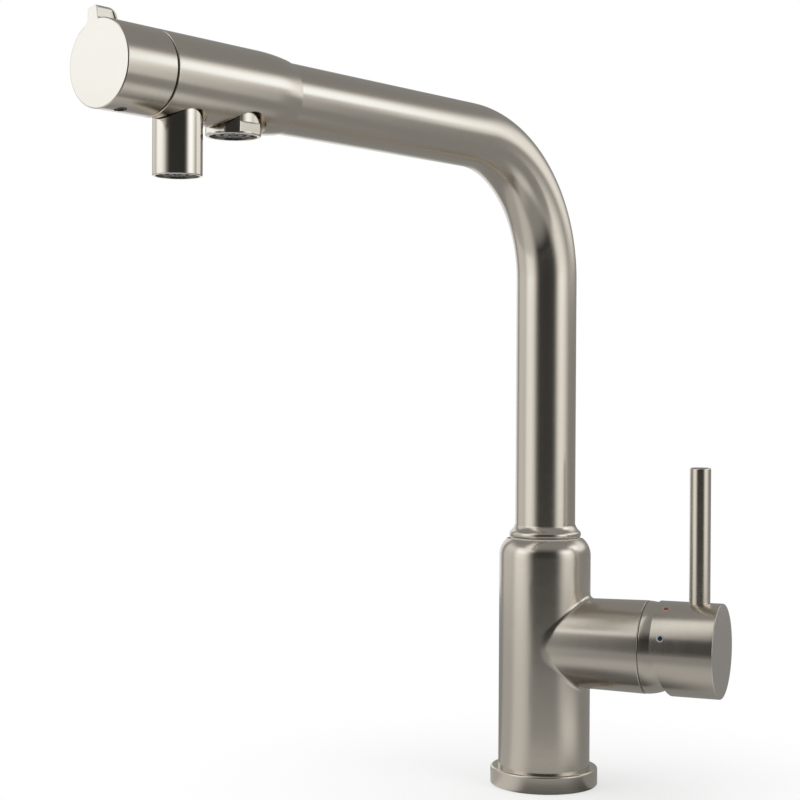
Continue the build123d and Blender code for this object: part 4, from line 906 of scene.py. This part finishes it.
class TAP_OT_aerators(TapOperator, Operator):
    """Ringed and notched aerator faces up inside both outlets"""

    bl_idname = "tap.aerators"
    bl_label = "Aerators"

    def execute(self, context):
        """The mixed and the filtered water's aerator, each from its own outlet's sizes."""
        s = Millimetres()
        low, radius = s.head_radius + s.main_drop, s.main_radius - 1.5
        self.aerator("mixed_aerator", "main_aerator", outlet_spindle(s, s.main_at), low, radius, 12)
        low, radius = s.head_radius + s.filter_drop, s.filter_radius - 1.2
        self.aerator("filter_aerator_face", "filter_aerator", outlet_spindle(s, s.filter_at), low, radius, 14)
        return {"FINISHED"}

    def aerator(self, name, node, about, low, radius, notches):
        """Face whose depth is slot(r) gate(a): round slots, bridged by narrow ribs.

        slot(r) is 1 in each ring's slot and falls smoothly to 0 on its lands; gate(a) is 1
        between ribs, and the ribs of one ring sit between those of the next.
        """
        face, top, border_width, slot_share, slot_depth = low - 0.6, low - 4.0, 0.9, 0.45, 0.8
        bevel, slot_side, rib_level, rib_side, rings = 0.15, 0.12, -0.72, 0.3, 3
        around = angles(count=240)[None]
        r = evenly(0.0, radius - bevel, 72)[::-1][:, None]
        pitch, inward = radius / rings, radius - border_width - r
        ring = np.floor(inward / pitch)
        inside = inward / pitch - ring
        slot = np.clip(np.minimum(inside, slot_share - inside) * pitch / slot_side, 0.0, 1.0)
        slot = np.where(inward < 0.0, 0.0, slot)
        gate = np.clip((np.cos(notches * around + np.pi * ring) - rib_level) / rib_side, 0.0, 1.0)
        rim = np.array([(top, 0.0), (top, radius), (face - bevel, radius)])
        along = np.broadcast_to(rim[:, :1], (3, around.shape[1]))
        along = np.concatenate((along, face - slot_depth * slot * gate))
        sheet = round_sheet(about, along, np.concatenate((rim[:, 1:], r)), around)
        make_piece(name, node, "spout", [sheet], "dark_plastic")


class TAP_OT_filter_knob(TapOperator, Operator):
    """Filter knob on the spout's end, its finger tab, and the plug over its screw"""

    bl_idname = "tap.filter_knob"
    bl_label = "Filter Knob"

    def execute(self, context):
        """Round sheet with the plug's hole under it, between a turned front and a turned back."""
        s = Millimetres()
        about, round_all = arm_spindle(s, -TAB_UP), angles(-180.0, 180.0)
        back = s.head_end + s.knob_gap
        face, radius, edge, hub = back + s.knob_length, s.head_radius, 0.5, 13.5
        plug_at, half, hub_floor = face - 7.5, 3.6, back + 5.0
        rows = [evenly(back + edge, plug_at - half, 10), evenly(plug_at - half, plug_at + half, 12)[1:]]
        rows = np.concatenate([*rows, evenly(plug_at + half, face - edge, 3)[1:]])[:, None]
        level = about.origin @ TAB_UP - (radius - 3.2)
        rim = bored(plug_at, 2.35, steady(radius))
        window = Window((10, 22), (HALF_TURN - 6, HALF_TURN + 6), rim, TAB_UP, level)
        patches = drilled(about, rows, round_all, [window], steady(radius), 5)
        front = rounded([(face - edge, radius), (face, radius), (face, 0.0)], (edge,), 7)[1:]
        rear = [(hub_floor, 0.0), (hub_floor, hub), (back, hub), (back, radius), (back + edge, radius)]
        rear = rounded(rear, (0.0, 0.0, edge), 7)[:-1]
        patches += [turned(front, about, round_all), turned(rear, about, round_all)]
        make_piece("knob_shell", "filter_knob", "filter_control", patches)
        make_piece("finger_tab", "filter_knob", "filter_control", self.tab(s, face))

        # Plug with a slightly crowned face, a little below the knob's side
        top, radius, crown_radius = s.head_radius - 0.5, 2.3, 20.0
        crown_turn = np.degrees(np.arcsin((radius - 0.3) / crown_radius))
        crown = arc((top - crown_radius, 0.0), crown_radius, 0.0, crown_turn, 6)
        corners = [crown[-1], (top - 0.1, radius), (top - 2.6, radius), (top - 2.6, 0.0)]
        outline = np.concatenate((crown, rounded(corners, (0.18, 0.0))[1:]))
        down = spindle(about.origin + HEADING * plug_at, -TAB_UP, HEADING)
        patch = turned(outline, down, angles(count=64))
        make_piece("screw_plug", "knob_screw_plug", "filter_control", [patch], "dark_plastic")
        return {"FINISHED"}

    def tab(self, s, face):
        """Section carried along the knob, with a grip dished into the side that faces the user.

        Its height h(x) falls at the rear by a quarter circle, h = height - b + sqrt(b squared -
        (b - x) squared). The user's side is w / 2 from the middle, less the dish, which is a
        product of smooth steps from each edge of the grip and deeper towards the knob. The other
        side flares by f (1 - v) to the power 2.5 down to the knob.
        """
        half, bend, ridge, root, flare = s.tab_width / 2, 3.2, 0.55, 14.2, 4.4
        below, rear_land, rear_slant, front_land = 0.1, 0.5, 0.3, 0.45  # round the grip
        soft, shallow, deepening = 0.4, 0.24, 0.07  # of the dish
        rear = bend * (1 - np.cos(angles(0.0, 90.0, 20)))
        x = np.concatenate((rear, evenly(bend, s.tab_depth + 0.004, 30)[1:]))[:, None]
        top = s.head_radius + s.tab_height - bend + np.sqrt(bend**2 - np.clip(bend - x, 0.0, bend) ** 2)
        v = shares(26).T
        near = root + v * (top - ridge - root)
        grip_low, grip_high = near - s.head_radius - below, top - ridge - near
        edges = [grip_low, grip_high, x - rear_land - rear_slant * grip_low, s.tab_depth - front_land - x]
        rises = np.clip(np.stack(np.broadcast_arrays(*edges)) / soft, 0.0, 1.0)
        dish = np.prod(rises * rises * (3.0 - 2.0 * rises), axis=0)
        dish = dish * (shallow + deepening * np.clip(grip_high, 0.0, None))
        corner = arc((half - ridge, -ridge), ridge, 0.0, 90.0, 8)
        over = np.concatenate((-corner[:, 0], corner[::-1, 0]))[None]
        drop = np.concatenate((corner[:, 1], corner[::-1, 1]))[None]
        far = root - 0.5 + v[:, ::-1] * (top - ridge - root + 0.5)
        sides = (dish - half, over, half + flare * (1.0 - v[:, ::-1]) ** 2.5)
        across, lift = (
            np.concatenate([np.broadcast_to(part, (len(x), part.shape[1])) for part in parts], 1)[..., None]
            for parts in (sides, (near, top + drop, far))
        )
        along = (face - s.tab_depth + x)[..., None] * HEADING
        skin = UP * s.arm_height + along + across * np.cross(HEADING, TAB_UP) + lift * TAB_UP
        t = shares(skin.shape[1] - 1)[None]
        base = skin[:, :1] * (1 - t) + skin[:, -1:] * t
        return [plain(skin), plain(base), *(plain(between(base[k], skin[k], 6)) for k in (0, -1))]


class TAP_OT_handle(TapOperator, Operator):
    """Handle drum with its slanted inner edge, hollow back, rod socket and grub screw hole"""

    bl_idname = "tap.handle"
    bl_label = "Handle"

    def execute(self, context):
        """Round sheet from the cut, x = back + R slant where the spoke points down, to the face."""
        s = Millimetres()
        about, around = branch_spindle(s), angles(-90.0, 270.0)
        back, radius, edge, pitch = s.branch_length + s.handle_setback, s.handle_radius, 0.4, 0.95
        face = back + s.handle_length
        rod_at, grub_at, grub_floor = face - ROD_FROM_FACE, 67.3, 15.3
        slant = np.tan(np.radians(17.3))
        cut = back + np.clip(-np.cos(around), 0.0, None) * radius * slant
        # Rows 0 to 7 fan out from the cut, rows 8 to 28 keep the pitch with the rod's axis on row 19
        t, pitches = shares(8)[:-1], pitch * np.arange(-11, 10)[:, None]
        fan = cut[None] * (1 - t) + (rod_at - 11 * pitch) * t
        level_rows = np.concatenate((rod_at + pitches, [[face - edge]]))
        along = np.concatenate((fan, np.broadcast_to(level_rows, (22, len(around)))))
        socket = bored(rod_at, s.rod_radius + FIT, steady(radius))
        grub = bored(grub_at, 2.05, steady(radius), np.pi)
        top, bottom = FULL_TURN // 4, 3 * FULL_TURN // 4
        socket_level = -(s.branch_height + radius - ROD_SOCKET)
        windows = [
            Window((10, 28), (top - 9, top + 9), socket, -UP, socket_level),
            Window((8, 17), (bottom - 5, bottom + 5), grub, UP, s.branch_height - grub_floor),
        ]
        patches = drilled(about, along, around, windows, steady(radius), 7)
        front = rounded([(face - edge, radius), (face, radius), (face, 0.0)], (edge,), 7)[1:]
        patches += [turned(front, about, around), *self.hollow(s, about, around, back, slant)]
        make_piece("handle_drum", "handle_knob", "handle", patches)
        return {"FINISHED"}

    def hollow(self, s, about, around, back, slant):
        """Cut face from the drum's edge to the hollow, then the spherical hollow.

        On the cut plane x = back + k r, with k = slant times how far the spoke points down, and
        the sphere (x - branch) squared + r squared = R squared gives r from the quadratic.
        """
        sphere, near, t = s.dome_radius + 0.3, back - s.branch_length, shares(3)
        k = np.clip(-np.cos(around), 0.0, None) * slant
        inner = (-near * k + np.sqrt((near * k) ** 2 - (1 + k**2) * (near**2 - sphere**2))) / (1 + k**2)
        radii = s.handle_radius * (1 - t) + inner * t
        face = round_sheet(about, back + k * radii, radii, around[None])
        sweep = np.arccos(np.clip((near + k * inner) / sphere, -1, 1)) * (1 - shares(12))
        along, radii = s.branch_length + sphere * np.cos(sweep), sphere * np.sin(sweep)
        return [face, round_sheet(about, along, radii, around[None])]


class TAP_OT_lever_rod(TapOperator, Operator):
    """Round lever rod that stands on the handle"""

    bl_idname = "tap.lever_rod"
    bl_label = "Lever Rod"

    def execute(self, context):
        """Section of the rod with its rounded tip, turned about its own upright axis."""
        s = Millimetres()
        rod_at = s.branch_length + s.handle_setback + s.handle_length - ROD_FROM_FACE
        low, radius = s.branch_height + s.handle_radius - ROD_SOCKET, s.rod_radius
        corners = [(low, 0.0), (low, radius), (s.rod_top, radius), (s.rod_top, 0.0)]
        about = spindle((rod_at, 0.0, 0.0), UP, ALONG_BRANCH)
        patch = turned(rounded(corners, (0.0, 0.8), 8), about, angles(count=96))
        make_piece("lever_pin", "handle_rod", "handle", [patch])
        return {"FINISHED"}


class TAP_OT_index_dots(TapOperator, Operator):
    """Hot and cold dots on the handle's side"""

    bl_idname = "tap.index_dots"
    bl_label = "Index Dots"

    def execute(self, context):
        """Dot on the drum, R + rise(r) from its axis: a flat of enamel, then a rounded rim."""
        s = Millimetres()
        around, edge, rim_at, rim_half, thickness = angles(count=48)[None], 0.08, 1.38, 0.3, 0.3
        rim_height, enamel_height, sunk, from_back = 0.045, 0.016, 0.005, 4.9
        r = np.concatenate((evenly(0.0, s.dot_radius - edge, 26), [s.dot_radius]))[:, None]
        rim = np.clip(1.0 - ((r - rim_at) / rim_half) ** 2, 0.0, 1.0) ** 2
        rise = (rim_height * rim + enamel_height) * np.clip((s.dot_radius - r) / edge, 0.0, 1.0)
        along, side = r * np.cos(around), r * np.sin(around)
        height = (np.sqrt(s.handle_radius**2 - side**2) + rise - sunk)[..., None]
        centre = np.array((s.branch_length + s.handle_setback + from_back, 0.0, s.branch_height))
        for name, node, slot, lean in (
            ("hot_dot", "hot_index", "red_enamel", np.radians(26.9)),
            ("cold_dot", "cold_index", "blue_enamel", np.radians(70.8)),
        ):
            out = np.array((0.0, -np.sin(lean), np.cos(lean)))
            over = side[..., None] * np.cross(out, ALONG_BRANCH)
            top = centre + along[..., None] * ALONG_BRANCH + over + height * out
            under = top[-1] - thickness * out
            middle = np.broadcast_to(under[:-1].mean(axis=0), under.shape)
            face = Patch(top, grain_of(r, around, 0.0))
            patches = [face, plain(between(top[-1], under, 1)), plain(between(under, middle, 1))]
            make_piece(name, node, "handle", patches, slot)
        return {"FINISHED"}


class TAP_OT_inner_parts(TapOperator, Operator):
    """Finishes of the seals, valves, bushes and screws that stay as packed"""

    bl_idname = "tap.inner_parts"
    bl_label = "Inner Parts"

    def execute(self, context):
        """The finish of each inner node's own slot."""
        inner = ("brass", "stainless_steel", "black_rubber", "bearing_plastic", "pipe_plastic", "ceramic")
        for part in frame["record"]["subparts"]:
            if part["material_slot"] in inner:
                for slot in frame["nodes"][part["node"]].material_slots:
                    slot.material = finish(part["material_slot"])
        return {"FINISHED"}


LightBox = namedtuple("LightBox", "start full fade end rise fall low high")
LIGHT_BOXES = (
    LightBox(192, 214, 228, 262, (-2, -1), (0.5, 0.85), 1.1, 1.42),  # tall box on the left
    LightBox(318, 343, 350, 390, (-2, -1), (0.45, 0.8), 1.1, 1.5),  # tall box on the right
    LightBox(240, 264, 312, 334, (-0.09, 0.06), (0.42, 1.0), 0.055, 0.035),  # dark between them
    LightBox(156, 166, 192, 212, (-2, -1), (0.5, 0.85), 0.72, 0.85),  # screen left of the left box
    LightBox(110, 121, 142, 150, (-2, -1), (0.45, 0.8), 0.95, 0.95),  # strip behind on the left
    LightBox(18, 32, 52, 84, (0.25, 0.4), (0.6, 0.95), 1.12, 1.12),  # band behind the tap
    LightBox(1, 12, 26, 40, (0.42, 0.5), (0.65, 1.0), 1.5, 1.5),  # its brighter right end
    LightBox(215, 235, 250, 264, (0.45, 0.6), (1.3, 1.5), 1.15, 1.15),  # box above the front
)


class TAP_OT_studio(TapOperator, Operator):
    """Camera, floor, soft lamps, and the light boxes that the metal mirrors"""

    bl_idname = "tap.studio"
    bl_label = "Studio"

    def execute(self, context):
        """Camera, floor, the room that reflections see, backdrop and lamps."""
        scene = bpy.context.scene
        scene.view_settings.view_transform = "Standard"
        self.camera(scene)
        self.floor(scene.tap_studio)
        self.surround(scene.tap_studio)
        self.world(scene, scene.tap_studio)
        self.lamps(scene.tap_studio)
        return {"FINISHED"}

    def camera(self, scene):
        """Camera at the photograph's place and angle."""
        data = bpy.data.cameras.new("photo_camera")
        data.lens, data.sensor_width, data.clip_end = 76.4, 36.0, 20.0
        stand = Vector((0.245345, -0.76145, 0.182571))
        right = Vector((0.92204, 0.38706, 0.00564)).normalized()
        ahead = Vector((-0.38704, 0.92205, -0.00384)).normalized()
        turn = Matrix((right, right.cross(ahead), -ahead)).transposed().to_4x4()
        scene.camera = linked("photo_camera", data)
        scene.camera.matrix_world = Matrix.Translation(stand) @ turn

    def floor(self, studio):
        """Pale floor: lit round the tap, and the plain background colour further out."""
        mesh, half = bpy.data.meshes.new("floor"), 6.0
        corners = [(-half, -half, 0), (half, -half, 0), (half, half, 0), (-half, half, 0)]
        mesh.from_pydata(corners, [], [(0, 1, 2, 3)])
        floor = linked("floor", mesh)
        material = bpy.data.materials.new("pale_floor")
        n = Nodes(material)
        far = n.distance(n.place()).step(0.03, 0.2)
        lit = n.make("BsdfDiffuse", {}, {"Color": rgba(studio.floor)})
        glow = n.make("Emission", {}, {"Color": (1, 1, 1, 1), "Strength": 1.0})
        n.surface("MixShader", {0: n.seen() * (0.6 + 0.4 * far), 1: lit, 2: glow})
        mesh.materials.append(material)
        floor.visible_glossy = False

    def surround(self, studio):
        """Round room that only reflections see: a wall of light boxes under a ceiling, and a ground.

        A box's light on the wall is its level where its azimuth and height, each a rise and a
        fall by smooth steps, are both full. The ground's light is painted light and shade of a
        lit floor: brighter at the front, with a painted shadow of the tap close to it there, ending in
        the dark between the boxes, and with painted light of the screen and the two side boxes on it.
        """
        wide, high, gap = 800.0, 1250.0, 1.0
        n = self.room("light_wall", [(gap, wide), (high, wide), (high, 0.0)])
        azimuth, _, height = self.where(n)
        light = studio.walls
        for box in LIGHT_BOXES:
            mask = self.across(azimuth, box) * (height.step(*box.rise) - height.step(*box.fall))
            level = (box.high - (box.high - box.low) * (1.0 - height.step(0.22, 0.42))) * studio.boxes
            light = light * (1.0 - mask) + mask * level
        self.glow(n, light)
        n = self.room("light_ground", [(-gap, 0.0), (-gap, wide)])
        azimuth, away, _ = self.where(n)
        left, right, dark, screen = (self.across(azimuth, box) for box in LIGHT_BOXES[:4])
        # Painted light of a lit floor: the ground brighter towards the front
        light = studio.walls * (1.0 + 0.7 * (azimuth.step(190.0, 230.0) - azimuth.step(320.0, 350.0)))
        # Painted shadow of the tap: the ground darker close to it at the front
        light = light * (1.0 - 0.7 * azimuth.step(236.0, 262.0) * (1.0 - away.step(0.04, 0.075)))
        # Painted shade where the ground lies in the dark between the boxes, darker further out
        light = light * (1.0 - dark * away.step(0.3, 0.65)) * (1.0 - 0.35 * dark * away.step(0.1, 0.17))
        # Painted pool of the right box's light on a ring of the ground
        right = right * (away.step(0.05, 0.16) - away.step(0.2, 0.34))
        # Painted light of the screen and the two side boxes on the ground
        for mask, level in ((screen, 0.5), (left, 0.7), (right, 0.8)):
            light = light * (1.0 - mask) + mask * (level * studio.boxes)
        self.glow(n, light)

    def across(self, azimuth, box):
        """1 across a light box, from where it is full to where it fades, turning through 360."""
        on = (azimuth - box.start + 360.0) % 360.0
        return on.step(0.0, box.full - box.start) - on.step(box.fade - box.start, box.end - box.start)

    def room(self, name, outline):
        """Part of the round room, turned about the upright axis, and its empty node tree."""
        part = linked(name, skin_of(name, [turned(outline, column_spindle(), angles(count=96))]))
        for kind in ("camera", "diffuse", "transmission", "volume_scatter", "shadow"):
            setattr(part, f"visible_{kind}", False)
        material = bpy.data.materials.new(name)
        part.data.materials.append(material)
        return Nodes(material)

    def where(self, n):
        """Azimuth in degrees from +X, distance from the upright axis, and height in metres."""
        place_at = n.place()
        x, y, z = (n.make("SeparateXYZ", {}, {0: place_at}, name) for name in "XYZ")
        azimuth = n.maths("ARCTAN2", y, x) * (180.0 / np.pi)
        azimuth = azimuth + (1.0 - azimuth.step(-0.001, 0.0)) * 360.0
        return azimuth, (x * x + y * y) ** 0.5, z

    def glow(self, n, light):
        """Light that grows cooler as it grows brighter: a tint times its level."""
        tint = n.blend(light.step(1.0, 1.6), (1.0, 1.0, 1.0, 1.0), (1.0, 1.09, 1.19, 1.0))
        shade = n.make("VectorMath", {"operation": "SCALE"}, {0: tint, "Scale": light})
        n.surface("Emission", {"Color": shade, "Strength": 1.0})

    def world(self, scene, studio):
        """Plain sky, white where it is seen itself."""
        scene.world = bpy.data.worlds.new("backdrop")
        n = Nodes(scene.world)
        shades = n.blend(n.seen(), (*(studio.sky,) * 3, 1.0), (1, 1, 1, 1))
        background = n.make("Background", {}, {"Color": shades, "Strength": 1.0})
        n.make("OutputWorld", {}, {"Surface": background})

    def lamps(self, studio):
        """Three large soft lamps that face the tap's middle, kept out of the reflections."""
        middle = Vector((0.0, -0.05, 0.12))
        for name, azimuth, height, distance, side, power in (
            ("left_lamp", 220.0, 35.0, 1.6, 1.2, 8.0),
            ("right_lamp", 345.0, 30.0, 1.6, 1.0, 6.0),
            ("top_lamp", 112.0, 80.0, 1.8, 1.6, 8.0),
        ):
            data = bpy.data.lights.new(name, "AREA")
            data.shape, data.size, data.energy = "SQUARE", side, power * studio.lamps
            a, e = np.radians((azimuth, height))
            way = Vector((np.cos(e) * np.cos(a), np.cos(e) * np.sin(a), np.sin(e)))
            turn = way.to_track_quat("Z", "Y").to_matrix().to_4x4()
            lamp = linked(name, data)
            lamp.matrix_world = Matrix.Translation(middle + way * distance) @ turn
            lamp.visible_glossy = False


PIECES = (
    TAP_OT_base_flange,
    TAP_OT_body_casting,
    TAP_OT_dome_cover,
    TAP_OT_spout_collar,
    TAP_OT_spout_tube,
    TAP_OT_spout_head,
    TAP_OT_outlets,
    TAP_OT_aerators,
    TAP_OT_filter_knob,
    TAP_OT_handle,
    TAP_OT_lever_rod,
    TAP_OT_index_dots,
    TAP_OT_inner_parts,
    TAP_OT_studio,
)


class TAP_PT_sidebar(Panel):
    """The tap's pieces, sizes and finishes"""

    bl_idname = "TAP_PT_sidebar"
    bl_label = "Kitchen Mixer Tap"
    bl_space_type = "VIEW_3D"
    bl_region_type = "UI"
    bl_category = "Tap"

    def draw(self, context):
        """Button for each piece, then each group's properties."""
        for piece in PIECES:
            self.layout.operator(piece.bl_idname)
        for name, kind in GROUPS.items():
            box = self.layout.box()
            for key in kind.__annotations__:
                box.prop(getattr(context.scene, name), key)


GROUPS = {"tap_sizes": TapSizes, "tap_finishes": TapFinishes, "tap_studio": TapStudio}
CLASSES = (*GROUPS.values(), *PIECES, TAP_PT_sidebar)


def register():
    """Add the classes and the scene's groups."""
    for kind in CLASSES:
        bpy.utils.register_class(kind)
    for name, kind in GROUPS.items():
        setattr(bpy.types.Scene, name, PointerProperty(type=kind))


def unregister():
    """Take them away again."""
    for name in GROUPS:
        delattr(bpy.types.Scene, name)
    for kind in reversed(CLASSES):
        bpy.utils.unregister_class(kind)


def main():
    """Build every piece and the studio."""
    register()
    for piece in PIECES:
        group, name = piece.bl_idname.split(".")
        getattr(getattr(bpy.ops, group), name)()
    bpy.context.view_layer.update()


if __name__ == "__main__":
    main()
